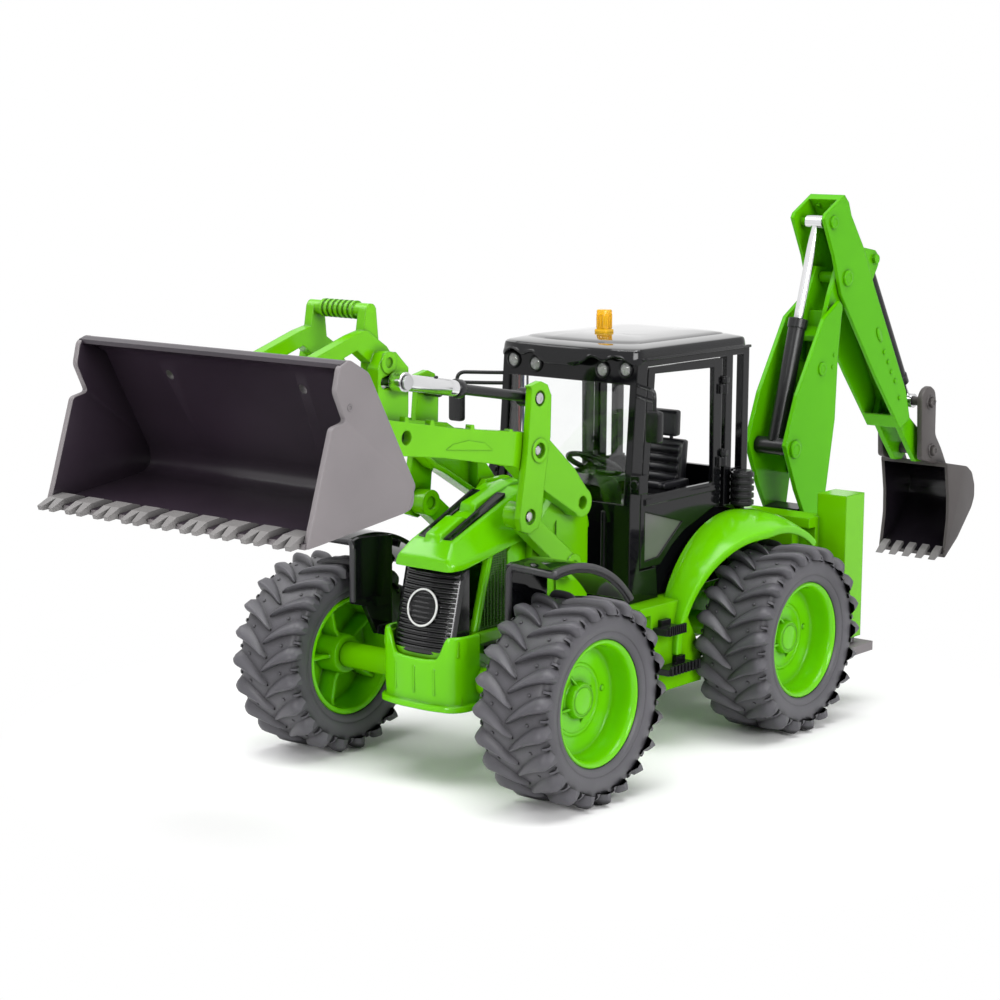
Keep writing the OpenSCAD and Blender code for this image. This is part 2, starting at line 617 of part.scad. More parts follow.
module rear_frame() color("#3fc412") shifted() {
    block([frame_back, frame_x], [-column_in + 8.5, column_in - 8.5], [46, frame_top - 4]);
    block([-222, frame_x], [-column_in - 1, column_in + 1], [frame_top - 5, frame_top]);
    both() difference() {
        block([column_x0, column_x1], [column_in, column_in + column_w], [column_bottom, column_top]);
        block([column_x0 + column_wall, column_x1 - column_wall],
            [column_in + column_wall, column_in + column_w - column_wall], [column_bottom - 1, column_top - 2.5]);
    }
    both() block([-216, frame_back + 1], [column_in - 9, column_in + 1], [46, frame_top]);
    difference() {
        for (z = post_lugs) plan([[frame_back, -22], [frame_back, 22], [post_x, 10], [-255, 6],
            [-255, -6], [post_x, -10]], z[0], z[1]);
        translate([post_x, 0, 0]) cylinder(h = 120, r = pin_r + 0.5 + run_gap);
    }
}

module stabiliser_leg(s) color("#2a2b2d") shifted() side_of(s) {
    g = column_wall + move_gap;
    mid = [(column_x0 + column_x1) / 2 - 1.5, column_in + column_w / 2];
    block([column_x0 + g, column_x1 - g], [column_in + g, column_in + column_w - g], [foot_top - 0.5, column_top - 6]);
    block([mid[0] - foot_size / 2, mid[0] + foot_size / 2], [mid[1] - foot_size / 2 + 1, mid[1] + foot_size / 2 - 1],
        [foot_top - foot_t, foot_top]);
}

// Backhoe

module swing_post() color("#161719") shifted() {
    lug = boom_in - move_gap;
    difference() {
        union() {
            translate([post_x, 0, post_lugs[0][1] + move_gap])
                cylinder(h = post_lugs[1][0] - post_lugs[0][1] - 2 * move_gap, r = 8.5);
            slab([[post_x, 65.5], [-264, 65.5], [-282, 68], [-291, 73], [-291, 82], [-285, 86], [-274, 85], [-260, 78.5],
                [post_x, 78.5]], -lug, lug);
        }
        bar(boom_pivot, pin_r + run_gap, -20, 20);
    }
    translate([post_x, 0, post_lugs[0][0] - 2]) cylinder(h = post_lugs[1][1] - post_lugs[0][0] + 4, r = pin_r + 0.5);
}

boom_side = [[-306, 192.6], [-290.8, 184], [-266.6, 146], [-256.2, 120.5], [-268, 96], [-275.5, 84], [-279, 70],
    [-289, 70], [-294, 78], [-299, 104], [-304, 130], [-305.5, 164.5], [-308.7, 190]];
module boom() color("#3fc412") shifted() difference() {
    union() {
        both() slab(boom_side, boom_in, boom_half);
        slab([[-297.6, 100], [-303.4, 130], [-305.2, 164.5], [-307.8, 187], [-304.8, 187], [-302.6, 164], [-300.6, 130],
            [-294.8, 100]], -boom_in - 0.5, boom_in + 0.5);
        both() slab([[-311, 210], [-322, 209], [-325, 202], [-305.2, 164.5], [-301, 160], [-293, 168], [-304, 196]],
            tongue_half - 2.8, tongue_half);
        slab([[-306, 180], [-297, 174], [-297, 171], [-306, 177]], -boom_in - 0.5, boom_in + 0.5);
        bar(boom_pivot, pin_r, -boom_in - 1, boom_in + 1);
        both() bar(tube_pivot, 4.4, boom_half - 0.5, boom_half + 0.7);
    }
    bar(tube_pivot, pin_r - 0.5 + run_gap, -20, 20);
    bar(dipper_pivot, pin_r + run_gap, -20, 20);
}

module dipper_barrel() color("#1c1d20") shifted() {
    length = 68;
    lug = boom_in - move_gap;
    bar(tube_pivot, 4.6, -lug, lug);
    bar(tube_pivot, pin_r - 0.5, -boom_half, boom_half);
    difference() {
        union() {
            stick(tube_pivot, dipper_dir, hoe_tube_r, 2, length);
            stick(tube_pivot, dipper_dir, hoe_tube_r + 0.6, length - 5, length);
        }
        stick(tube_pivot, dipper_dir, hoe_rod_r + hoe_play, 10, length + 2);
    }
}

module dipper_rod() color("#e4e4e6") shifted() difference() {
    union() {
        stick(ram_top, dipper_dir + 180, hoe_rod_r, 0, 82);
        bar(ram_top, 3.6, -5, 5);
    }
    bar(ram_top, pin_r - 0.8 + run_gap, -20, 20);
}

dipper_side = [[-311.5, 248], [-316, 244], [-319, 237], [-332.3, 219.9], [-345.1, 198], [-383, 138], [-388.1, 122],
    [-377.6, 117.6], [-349.4, 149], [-327, 176], [-311, 195.5], [-303, 216], [-292, 236], [-293.6, 238.6]];
dipper_hollow = [[-300, 252], [-316.6, 236], [-330.2, 218.6], [-342.8, 197], [-380.6, 137.4], [-385, 124.6],
    [-377, 121.4], [-340, 145], [-290, 190], [-280, 240]];
module dipper() color("#3fc412") shifted() difference() {
    union() {
        difference() {
            slab(dipper_side, -dipper_half, dipper_half);
            slab(dipper_hollow, -dipper_in, dipper_in);
        }
        for (y = [-4, 4]) slab([[-318, 238], [-316, 244], [-311.5, 247], [-308, 242]], y - 0.8, y + 0.8);
        slab([[-318.4, 237.6], [-316, 243.4], [-313.6, 242], [-315.6, 236.8]], -dipper_in - 0.5, dipper_in + 0.5);
        // fork to the bucket pivot
        both() slab([[-379, 124], [-384, 137], [-392, 122], [-412, 108], [-414, 100], [-408, 95.6], [-401, 96],
            [-390, 108], [-381, 118.4]], 5, 8.2);
        // bracket of the bucket ram
        both() slab([[-331, 219], [-344.4, 196.6], [-349, 201], [-354.6, 209], [-355, 214], [-351, 217.2],
            [-340, 219]], 4.4, 6.8);
        bar(hoe_ram_base, pin_r - 0.5, -8.6, 8.6);
        bar(ram_top, pin_r - 0.8, -dipper_in - 1, dipper_in + 1);
        bar(dipper_pivot, pin_r, -dipper_in - 1, dipper_in + 1);
        both() {
            bar(ram_top, 3.4, dipper_half - 0.5, dipper_half + 0.6);
            bar(dipper_pivot, 4.2, dipper_half - 0.5, dipper_half + 0.6);
        }
    }
    bar(hoe_pivot, pin_r + run_gap, -20, 20);
}

module hoe_barrel() color("#141516") shifted() difference() {
    union() {
        stick(hoe_ram_base, curl_dir, curl_tube_r, 0, curl_tube);
        bar(hoe_ram_base, 4.2, -3.9, 3.9);
        stick(hoe_ram_base, curl_dir, curl_tube_r + 0.5, curl_tube - 5, curl_tube);
    }
    bar(hoe_ram_base, pin_r - 0.5 + run_gap, -20, 20);
    stick(hoe_ram_base, curl_dir, curl_rod_r + curl_play, 8, curl_tube + 2);
}

module hoe_rod() color("#c9ccd0") shifted() difference() {
    union() {
        stick(hoe_eye, curl_dir + 180, curl_rod_r, 0, 52);
        bar(hoe_eye, 4, -4, 4);
    }
    bar(hoe_eye, pin_r - 0.5 + run_gap, -20, 20);
}

hoe_shell_out = [[-413, 95], [-437, 90.6], [-443, 86.6], [-446.6, 79], [-446.9, 71.8], [-444, 66], [-428.4, 50.2],
    [-414.4, 40.4]];
hoe_shell_in = [[-412, 92.4], [-436.4, 88], [-441, 84.8], [-444.2, 78.4], [-444.4, 72.4], [-442, 67.4], [-426.8, 52],
    [-413, 42.6], [-408, 60]];
hoe_side_plate = concat(hoe_shell_out, [[-413.6, 41], [-417, 62], [-416.6, 75]]);
hoe_ear = [[-413, 93.6], [-396.8, 98], [-394.6, 133], [-398, 137.6], [-404, 139.4], [-409.6, 136], [-411, 130],
    [-411.4, 111], [-419, 102], [-426, 91.6], [-420, 91]];
module hoe_bucket() color("#2b2a2c") shifted() {
    half = hoe_w / 2;
    difference() {
        slab(hoe_shell_out, -half, half);
        slab(hoe_shell_in, -half - 1, half + 1);
    }
    both() slab(hoe_side_plate, half - 2, half);
    both() slab(hoe_ear, ear_in, ear_out);
    bar(hoe_eye, pin_r - 0.5, -ear_in - 1, ear_in + 1);
    bar(hoe_pivot, pin_r, -ear_in - 1, ear_in + 1);
    both() {
        bar(hoe_eye, 4, ear_out - 0.5, ear_out + 0.6);
        bar(hoe_pivot, 4, ear_out - 0.5, ear_out + 0.6);
    }
}

module hoe_teeth() color("#6f6d6b") shifted() for (i = [0:hoe_teeth_count - 1])
    let (pitch = (hoe_w - 9) / (hoe_teeth_count - 1), y = -hoe_w / 2 + 4.5 + i * pitch)
        slab([[-413, 42.6], [-416.4, 44.93], [-415.4, 46.6], [-411.6, 44.4], [-406.4, 39.8]], y - 2.2, y + 2.2);

// Loader

arm_side = [[-63.6, 122.6], [-53.5, 133.8], [-35.9, 148.1], [-28, 152.4], [-12.4, 154.6], [27.5, 160], [70.5, 167.8],
    [75, 161], [71, 153.4], [62, 152], [37.1, 148.6], [-11.2, 139.4], [-20, 132.4], [-26.7, 129.4], [-54.4, 113.6],
    [-62, 112]];
arm_hollow = [[-50, 132.4], [-35, 145.6], [-27, 149.8], [-12, 152], [27.5, 157.4], [52, 162], [52, 153.4],
    [37, 151.2], [-12, 142], [-21, 134.8], [-27, 132], [-50, 119]];
module arm() difference() {
    union() {
        difference() {
            union() {
                slab(arm_side, arm_in, arm_out);
                bar(arm_pivot, 6.6, arm_in, arm_out);
            }
            slab(arm_hollow, arm_in - 1, arm_out - arm_wall);
        }
        bar(crank_pivot, 6.4, arm_in, arm_out - 1);
        for (x = [-8, 10, 28, 42]) slab([[x - 1, 141.4 + x * 0.2], [x + 8, 153.4 + x * 0.15], [x + 10, 153.4 + x * 0.15],
            [x + 1, 141.4 + x * 0.2]], arm_in + 1, arm_out - 1);
        slab([[35.3, 151.8], [31, 153.6], [20.7, 154.2], [10, 152], [4.6, 148.4]], arm_out - 0.5, arm_out + 0.3);
        for (x = [-8, 18, 44, 60]) slab([[x - 1.5, 155 + x * 0.17], [x - 1, 157.4 + x * 0.175],
            [x + 1, 157.6 + x * 0.175], [x + 1.5, 155 + x * 0.17]], arm_out - 3, arm_out);
    }
    bar(arm_pivot, pin_r + run_gap, 0, 60);
    bar(crank_pivot, pin_r + run_gap, 0, 60);
    bar(hitch_pivot, pin_r + run_gap, 0, 60);
    slab([[-60, 100], [-10, 100], [-10, 126], [-26, 126], [-60, 108]], 0, arm_in - 1);
}
module loader_arms() color("#3fc412") shifted() both() arm();

crank_side = [[-16.4, 174.2], [-17.6, 172.8], [-15, 145], [-9.8, 117], [-11.4, 111.4], [-17, 109.4], [-23, 111.4],
    [-25.6, 117], [-26.6, 128], [-31, 151], [-31.4, 169], [-28.6, 174], [-24, 175.8]];
module crank() difference() {
    union() {
        slab(crank_side, crank_in, crank_out);
        bar(crank_pivot, 5.4, crank_out - 0.5, crank_out + 0.6);
        bar(crank_pivot, pin_r, arm_in + 0.4, crank_in + 1);
        bar(crank_low, pin_r, arm_in + 1, crank_in + 1);
    }
    for (p = [crank_high, crank_pivot, crank_low]) bar(p, screw_cup, crank_out - 1.4, crank_out + 2);
    bar(crank_high, pin_r - 0.6 + run_gap, 0, 60);
}
module bell_cranks() color("#3fc412") shifted() both() crank();

module crank_screws() color("#c8c8cc") shifted() both() for (p = [crank_pivot, crank_low]) difference() {
    bar(p, screw_r + 0.4, crank_out - 1.4, crank_out - 0.2);
    bar(p, 0.9, crank_out - 0.9, crank_out + 1);
}

module levelling_links() color("#3fc412") shifted() both() difference() {
    union() {
        dir = aim(link_pivot, crank_low);
        for (p = [link_pivot, crank_low]) bar(p, 6, arm_in, arm_out);
        translate([link_pivot[0], arm_in, link_pivot[1]]) rotate([0, -dir, 0])
            block([2, norm(crank_low - link_pivot) - 2], [0.6, arm_t - 0.6], [-5, 5]);
    }
    for (p = [link_pivot, crank_low]) bar(p, pin_r + run_gap, 0, 60);
}

module tilt_pins() color("#c8c8cc") shifted() both() difference() {
    union() {
        bar(crank_high, pin_r - 0.6, ram_y - 3, crank_out - 1.2);
        bar(crank_high, screw_r + 0.4, crank_out - 1.4, crank_out - 0.2);
    }
    bar(crank_high, 0.9, crank_out - 0.9, crank_out + 1);
}

module tilt_rods() color("#1d1e20") shifted() both() difference() {
    union() {
        stick(crank_high, tilt_dir, rod_r, 0, tilt_rod_end, ram_y);
        bar(crank_high, 4.2, ram_y - 3, crank_in - move_gap);
    }
    bar(crank_high, pin_r - 0.6 + run_gap, 0, 60);
}

module tilt_barrels() color("#dcdde0") shifted() both() difference() {
    union() {
        stick(hitch_eye, tilt_dir + 180, barrel_r, 0, tilt_tube, ram_y);
        stick(hitch_eye, tilt_dir + 180, barrel_r + 0.6, tilt_tube - 4, tilt_tube, ram_y);
        bar(hitch_eye, 4.2, ram_y - 3, ram_y + 3.4);
    }
    bar(hitch_eye, pin_r - 0.8 + run_gap, 0, 60);
    stick(hitch_eye, tilt_dir + 180, rod_r + ram_play, 7, tilt_tube + 2, ram_y);
}

module eye_pins() color("#d0d2d4") shifted() both() {
    bar(hitch_eye, pin_r - 0.8, hitch_in + 1, ram_y + 3.8);
    bar(hitch_eye, 3, ram_y + 3.7, ram_y + 4.6);
}

module hitch_pins() color("#b4b6b8") shifted() both()
    bar(hitch_pivot, pin_r, hitch_in + 0.5, arm_out - 4);

hitch_boss = [62.6, 190];
handle_x = 66.5;
handle_y = 14.5;
grip_r = 3;
grip_ribs = 7;
// outside of the bucket's back wall at a given height
function bucket_back(z) = shell_low[0] + (z - shell_low[1]) * (shell_high[0] - shell_low[0]) / (shell_high[1] - shell_low[1]);
hitch_frame = [[53, 155], [50.2, 168], [50.2, 187], [58, 196], [70, 203.4], [78, 201.6], [100, 194.6], [bucket_back(195.2), 195.2],
    [bucket_back(151.4), 151.4], [90, 148], [62, 151.6], [56, 152]];
hitch_window = [[70, 163], [68, 190], [76, 195.6], [98, 188.4], [114, 188.6], [97, 157.8], [88, 155.6]];
// arc slot in which the ram's eye pin stands still while the bucket tilts
module eye_slot() {
    lever = hitch_eye - hitch_pivot;
    half_w = pin_r - 0.8 + move_gap;
    for (turn = [-tilt_swing, tilt_swing]) bar(hitch_pivot + turned(lever, turn), half_w, 0, 60);
    translate([hitch_pivot[0], 0, hitch_pivot[1]]) rotate([90, 0, 0]) rotate([0, 0, atan2(lever[1], lever[0]) - tilt_swing])
        rotate_extrude(angle = 2 * tilt_swing) translate([norm(lever) - half_w, -60]) square([2 * half_w, 60]);
}

module hitch() color("#3fc412") shifted() {
    top = hitch_boss[1] + handle_rise;
    both() difference() {
        union() {
            slab([[53, 155], [50.2, 168], [50.2, 187], [58, 194], [66, 194], [69, 188], [69, 156], [64, 152], [57, 152]],
                hitch_in - 1, hitch_out);
            difference() {
                slab(hitch_frame, handle_y - 2.2, hitch_in);
                slab(hitch_window, handle_y - 4, hitch_in + 1);
            }
            bar(hitch_boss, 4.6, hitch_in, hitch_out + 0.6);
        }
        bar(hitch_boss, 2.2, hitch_out - 0.4, hitch_out + 2);
        bar(hitch_pivot, pin_r + run_gap, 0, 60);
        eye_slot();
    }
    // handle: two legs and a ribbed grip
    both() slab([[handle_x - 5, 194], [handle_x + 6, 194], [handle_x + 3, top - 2], [handle_x - 3, top - 2]],
        handle_y - 2.2, handle_y + 2.2);
    bar([handle_x, top - 3], grip_r, -handle_y - 2.2, handle_y + 2.2);
    for (i = [0:grip_ribs - 1]) let (y = (i - (grip_ribs - 1) / 2) * 2.8)
        bar([handle_x, top - 3], grip_r + 0.8, y - 0.7, y + 0.7);
    // cross tubes that hold the two sides together
    bar([80, 156], 4, -handle_y, handle_y);
    bar([118, 187.4], 3.4, -handle_y, handle_y);
}

bucket_side = [[140.3, 200.9], [145.8, 198.5], [148, 189.3], [142.5, 177.9], [150.1, 176.2], [160.6, 142.8],
    [164.1, 132.4], [156.6, 133.2], [108.2, 139.4], shell_low, shell_high];
shell_out = [[140.3, 200.9], [144.6, 198.9], [143.4, 196.6], [140.2, 198], [131.6, 193.4], [105.9, 149.3],
    [105.8, 146.4], [107.2, 143.6], [109.8, 141.6], [164.5, 134.7], [164.1, 132.4], [108.2, 139.4], shell_low,
    shell_high];
module loader_bucket() color("#2b2a2c") shifted() {
    half = bucket_w / 2;
    both() slab(bucket_side, half - 2.6, half);
    difference() {
        slab(shell_out, -half + 1, half - 1);
        for (y = [-1, 1]) translate([125, y * 37, 186]) rotate([0, 90, 0]) cylinder(h = 30, r = 1.5, center = true);
    }
    slab([[105.8, 149.2], [105.8, 141], [112, 141]], -half + 1, half - 1);
}

tooth_root = [153, 136.15];
tooth_dir = aim([109.8, 141.6], [164.5, 134.7]);
module bucket_teeth() color("#8d8b88") shifted() for (i = [0:bucket_teeth_count - 1])
    let (pitch = (bucket_w - 14.8) / (bucket_teeth_count - 1), y = -bucket_w / 2 + 7.4 + i * pitch)
        translate([tooth_root[0], y, tooth_root[1]]) rotate([0, -tooth_dir, 0]) difference() {
            slab([[0, 0], [0, 0.8], [4, 2.4], [11, 2.4], [17.4, 0.2], [17, -1.6], [12.2, -1.6], [12.2, 0]], -4.6, 4.6);
            plan([[11, 0], [18, -2.2], [18, 2.2]], -4, 6);
        }

chassis();
front_axle_block();
hood();
hood_strips();
grille();
side_meshes();
loader_tower();
front_fender(1);  // front_fender_left
front_fender(-1);  // front_fender_right
rear_fender(1);  // rear_fender_left
rear_fender(-1);  // rear_fender_right
cab();
roof();
roof_lamps();
beacon();
windscreen();
dashboard();
seat();
mirrors();
marker_lamps();
ribbed_ducts();
steps();
wires();
rear_frame();
steering_wheel();
door(1);  // door_left
door(-1);  // door_right
door_pane(1);  // door_pane_left
door_pane(-1);  // door_pane_right
stabiliser_leg(1);  // stabiliser_leg_left
stabiliser_leg(-1);  // stabiliser_leg_right
swing_post();
boom();
dipper_barrel();
dipper_rod();
dipper();
hoe_barrel();
hoe_rod();
hoe_bucket();
hoe_teeth();
loader_arms();
bell_cranks();
crank_screws();
levelling_links();
tilt_pins();
tilt_barrels();
tilt_rods();
eye_pins();
hitch_pins();
hitch();
loader_bucket();
bucket_teeth();
tyre(0, 1);  // tyre_front_left
tyre(0, -1);  // tyre_front_right
tyre(rear_x, 1);  // tyre_rear_left
tyre(rear_x, -1);  // tyre_rear_right
rim(0, 1);  // rim_front_left
rim(0, -1);  // rim_front_right
rim(rear_x, 1);  // rim_rear_left
rim(rear_x, -1);  // rim_rear_right
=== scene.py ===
import bpy, bmesh, json
from math import cos, pi, radians, sin
from mathutils import Vector, Matrix


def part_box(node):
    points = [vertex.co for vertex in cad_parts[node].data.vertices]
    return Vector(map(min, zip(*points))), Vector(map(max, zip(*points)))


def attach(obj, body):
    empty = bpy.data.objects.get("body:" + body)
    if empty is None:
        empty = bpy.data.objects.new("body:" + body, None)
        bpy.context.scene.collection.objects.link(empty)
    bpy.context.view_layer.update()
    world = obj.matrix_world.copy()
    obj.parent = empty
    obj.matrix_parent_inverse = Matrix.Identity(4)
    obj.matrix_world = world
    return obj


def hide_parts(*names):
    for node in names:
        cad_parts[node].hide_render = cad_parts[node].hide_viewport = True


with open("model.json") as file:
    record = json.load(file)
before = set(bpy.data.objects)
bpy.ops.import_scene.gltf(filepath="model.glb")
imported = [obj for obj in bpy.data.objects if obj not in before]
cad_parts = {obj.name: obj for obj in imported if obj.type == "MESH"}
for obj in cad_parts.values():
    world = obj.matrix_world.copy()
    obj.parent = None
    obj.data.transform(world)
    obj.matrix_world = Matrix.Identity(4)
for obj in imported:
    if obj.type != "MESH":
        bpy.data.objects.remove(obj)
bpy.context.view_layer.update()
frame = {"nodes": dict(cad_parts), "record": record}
nodes = frame["nodes"]
lengthMid = -0.1383  # front axle to the middle of the length, as in the solids
hands = ((1, "left"), (-1, "right"))
axles = ((0, "front"), (-162, "rear"))
print("frame loaded,", len(nodes), "nodes")


def at(x, y, z):  # millimetres from the front axle to metres in the frame
    return Vector((x / 1000 - lengthMid, y / 1000, z / 1000))


# finishes

finishes = {}
surface = {
    "cloud": (22, 4), "polish": (90, 5), "haze": (60, 4), "grain": 2600, "grainDetail": 2, "depth": 0.0003,
    "plasticIor": 1.49, "clearIor": 1.45,
}


def startFinish(name):
    mat = bpy.data.materials.new(name)
    mat.use_nodes = True
    finishes[name] = mat
    return mat.node_tree, mat.node_tree.nodes["Principled BSDF"]


def feed(node, values):  # links a socket to an input, or sets the input to a plain value
    for key, value in values.items():
        if isinstance(value, bpy.types.NodeSocket):
            node.id_data.links.new(value, node.inputs[key])
        else:
            node.inputs[key].default_value = value


def addNode(tree, kind, inputs=None, **settings):
    node = tree.nodes.new(kind)
    for key, value in settings.items():
        setattr(node, key, value)
    feed(node, inputs or {})
    return node


def mathNode(tree, operation, *inputs):
    return addNode(tree, "ShaderNodeMath", dict(enumerate(inputs)), operation=operation).outputs[0]


def objectPlace(tree):
    return addNode(tree, "ShaderNodeTexCoord").outputs["Object"]


def noiseField(tree, scale, detail):
    spec = {"Vector": objectPlace(tree), "Scale": scale, "Detail": detail}
    return addNode(tree, "ShaderNodeTexNoise", spec).outputs["Fac"]


def rampOf(tree, source, low, high, lowAt=0.3, highAt=0.7):
    ramp = addNode(tree, "ShaderNodeValToRGB", {"Fac": source})
    for stop, place, colour in zip(ramp.color_ramp.elements, (lowAt, highAt), (low, high)):
        stop.position = place
        stop.color = (*colour, 1)
    return ramp.outputs["Color"]


def spanOf(tree, source, low, high):
    spec = {"Value": source, "To Min": low, "To Max": high}
    return addNode(tree, "ShaderNodeMapRange", spec).outputs["Result"]


def creaseShade(tree, colour, look):  # painted shade: base colour darkened by ambient occlusion in narrow corners and along steps
    reach = {"Distance": look.get("shadeReach", 0.004)}
    near = addNode(tree, "ShaderNodeAmbientOcclusion", reach, samples=6).outputs["AO"]
    share = mathNode(tree, "POWER", near, look.get("shadeDepth", 1.0))
    return addNode(tree, "ShaderNodeVectorMath", {0: colour, "Scale": share}, operation="SCALE").outputs["Vector"]


def mouldedPlastic(name, look):
    tree, shader = startFinish(name)
    tint = rampOf(tree, noiseField(tree, *surface["cloud"]), look["dark"], look["light"])
    grain = noiseField(tree, look.get("grain", surface["grain"]), surface["grainDetail"])
    softEdge = addNode(tree, "ShaderNodeBevel", {"Radius": look.get("edge", 0.0005)}, samples=4)
    bump = addNode(tree, "ShaderNodeBump", {"Strength": look["bump"], "Distance": surface["depth"], "Height": grain,
                                            "Normal": softEdge.outputs["Normal"]})
    # the base colour carries painted shade in corners and along steps
    feed(shader, {"Base Color": creaseShade(tree, tint, look), "Normal": bump.outputs["Normal"],
                  "Roughness": spanOf(tree, noiseField(tree, *surface["polish"]), *look["rough"]),
                  "Coat Weight": look.get("coat", 0.0), "Coat Roughness": look.get("coatRough", 0.1),
                  "IOR": surface["plasticIor"], "Metallic": look.get("metal", 0.0),
                  "Specular IOR Level": look.get("specular", 0.5)})


# the crease values set the painted shade in corners and along steps: how deep it goes and how far it reaches
green = {"rough": (0.12, 0.19), "bump": 0.012, "edge": 0.0011, "shadeDepth": 0.9}
roofBlack = {"dark": (0.003, 0.003, 0.004), "light": (0.006, 0.006, 0.007), "rough": (0.04, 0.09), "bump": 0.006}
looks = {
    "greenPlastic": {**green, "dark": (0.122, 0.43, 0.0), "light": (0.138, 0.47, 0.001), "specular": 0.26},
    # bonnet, bumper, rear fenders and rims: the green plastic painted lighter, as painted light on these faces
    "shellGreenLit": {**green, "dark": (0.118, 0.475, 0.0), "light": (0.134, 0.525, 0.001), "specular": 0.3},
    # boom and dipper: the green plastic painted darker, as painted shade
    "hoeGreenShaded": {**green, "dark": (0.079, 0.375, 0.0), "light": (0.089, 0.405, 0.001), "specular": 0.1},
    "blackPlastic": {"dark": (0.006, 0.006, 0.007), "light": (0.012, 0.012, 0.013), "rough": (0.2, 0.3), "bump": 0.05,
        "edge": 0.0007, "specular": 0.32},
    "glossBlack": {"dark": (0.002, 0.002, 0.003), "light": (0.005, 0.005, 0.006), "rough": (0.04, 0.09), "bump": 0.008,
        "edge": 0.0009, "specular": 0.28},
    # lips of the front fenders
    "satinBlack": {"dark": (0.02, 0.019, 0.022), "light": (0.032, 0.031, 0.035), "rough": (0.32, 0.42), "bump": 0.03,
        "edge": 0.0011, "specular": 0.5},
    "roofGloss": {**roofBlack, "edge": 0.0007, "specular": 0.32},
    "roofTop": {**roofBlack, "edge": 0.0007, "specular": 1.0, "coat": 1.0, "coatRough": 0.04},  # the polished top face
    # the bucket's dark plastic in two copies: the first painted lighter with the light on the outer faces, the second
    # painted darker with the shade inside and on the top lip
    "bucketLitGrey": {"dark": (0.15, 0.136, 0.142), "light": (0.185, 0.168, 0.174), "rough": (0.45, 0.55), "bump": 0.08,
        "grain": 3600},
    "bucketShadedInside": {"dark": (0.017, 0.011, 0.018), "light": (0.027, 0.018, 0.028), "rough": (0.26, 0.34), "bump": 0.03,
        "grain": 3000, "edge": 0.0004, "specular": 0.6, "shadeReach": 0.02, "shadeDepth": 0.6},
    # the same bucket plastic painted darker than on the loader bucket, as painted shade, and darker still inside as
    # painted shade
    "hoeShadedGrey": {"dark": (0.042, 0.036, 0.036), "light": (0.06, 0.052, 0.051), "rough": (0.4, 0.5), "bump": 0.08,
        "grain": 3600},
    "hoeShadedInside": {"dark": (0.004, 0.003, 0.005), "light": (0.009, 0.007, 0.01), "rough": (0.14, 0.22), "bump": 0.03,
        "grain": 3000, "edge": 0.0004, "specular": 0.45},
    "grilleBlack": {"dark": (0.005, 0.005, 0.006), "light": (0.01, 0.01, 0.011), "rough": (0.12, 0.2), "bump": 0.02,
        "edge": 0.0002, "specular": 0.6, "shadeDepth": 2.0, "shadeReach": 0.0015},
    "paleRing": {"dark": (0.56, 0.56, 0.55), "light": (0.66, 0.66, 0.65), "rough": (0.4, 0.5), "bump": 0.03,
        "edge": 0.0001},
    "seatBlack": {"dark": (0.012, 0.012, 0.015), "light": (0.022, 0.022, 0.027), "rough": (0.3, 0.4), "bump": 0.1,
        "grain": 2000, "edge": 0.0006, "shadeDepth": 1.5},
    "toothGrey": {"dark": (0.12, 0.115, 0.115), "light": (0.2, 0.192, 0.19), "rough": (0.34, 0.46), "bump": 0.08,
        "edge": 0.0003},
    "tyreRubber": {"dark": (0.057, 0.055, 0.063), "light": (0.094, 0.091, 0.102), "rough": (0.36, 0.48), "bump": 0.1,
        "grain": 1800, "edge": 0.0004, "specular": 0.32, "shadeDepth": 3.0},
    "chromedSteel": {"dark": (0.68, 0.68, 0.69), "light": (0.8, 0.8, 0.81), "rough": (0.12, 0.22), "bump": 0.01,
        "metal": 1.0, "edge": 0.0003},
    "screwSteel": {"dark": (0.5, 0.5, 0.51), "light": (0.66, 0.66, 0.67), "rough": (0.2, 0.32), "bump": 0.02,
        "metal": 1.0, "edge": 0.0002},
    "lampSilver": {"dark": (0.88, 0.88, 0.89), "light": (0.95, 0.95, 0.96), "rough": (0.3, 0.42), "bump": 0.02,
        "metal": 0.1, "edge": 0.0002},
    "wireCover": {"dark": (0.2, 0.012, 0.012), "light": (0.34, 0.02, 0.02), "rough": (0.4, 0.5), "bump": 0.02},
    "smokePane": {"dark": (0.085, 0.083, 0.083), "light": (0.12, 0.117, 0.116), "rough": (0.16, 0.24), "bump": 0.005},
}
for name, look in looks.items():
    mouldedPlastic(name, look)

dotted = {
    "sheet": (0.03, 0.12, 0.002), "hole": (0.004, 0.012, 0.002), "pitch": 0.0022, "from": 0.05, "to": 0.3, "dent": 0.5,
    "depth": 0.0004, "rough": 0.35,
}


def perforated(name, look):  # sheet with rows of small holes, painted as dark dots: painted shade inside the holes
    tree, shader = startFinish(name)
    x, _, z = addNode(tree, "ShaderNodeSeparateXYZ", {0: objectPlace(tree)}).outputs
    waves = []
    for slant in (mathNode(tree, "ADD", x, z), mathNode(tree, "SUBTRACT", z, x)):
        waves.append(mathNode(tree, "SINE", mathNode(tree, "MULTIPLY", slant, 2 * pi / look["pitch"])))
    both = mathNode(tree, "MULTIPLY", *waves)
    dent = addNode(tree, "ShaderNodeBump", {"Strength": look["dent"], "Distance": look["depth"], "Height": both},
                   invert=True)
    feed(shader, {"Base Color": rampOf(tree, both, look["sheet"], look["hole"], look["from"], look["to"]),
                  "Normal": dent.outputs["Normal"], "Roughness": look["rough"]})


def clearPlastic(name, colour, rough, clear):
    tree, shader = startFinish(name)
    haze = noiseField(tree, *surface["haze"])
    feed(shader, {"Base Color": rampOf(tree, haze, tuple(c * 0.96 for c in colour), colour),
                  "Roughness": spanOf(tree, haze, rough * 0.6, rough * 1.4),
                  "Transmission Weight": clear, "IOR": surface["clearIor"]})


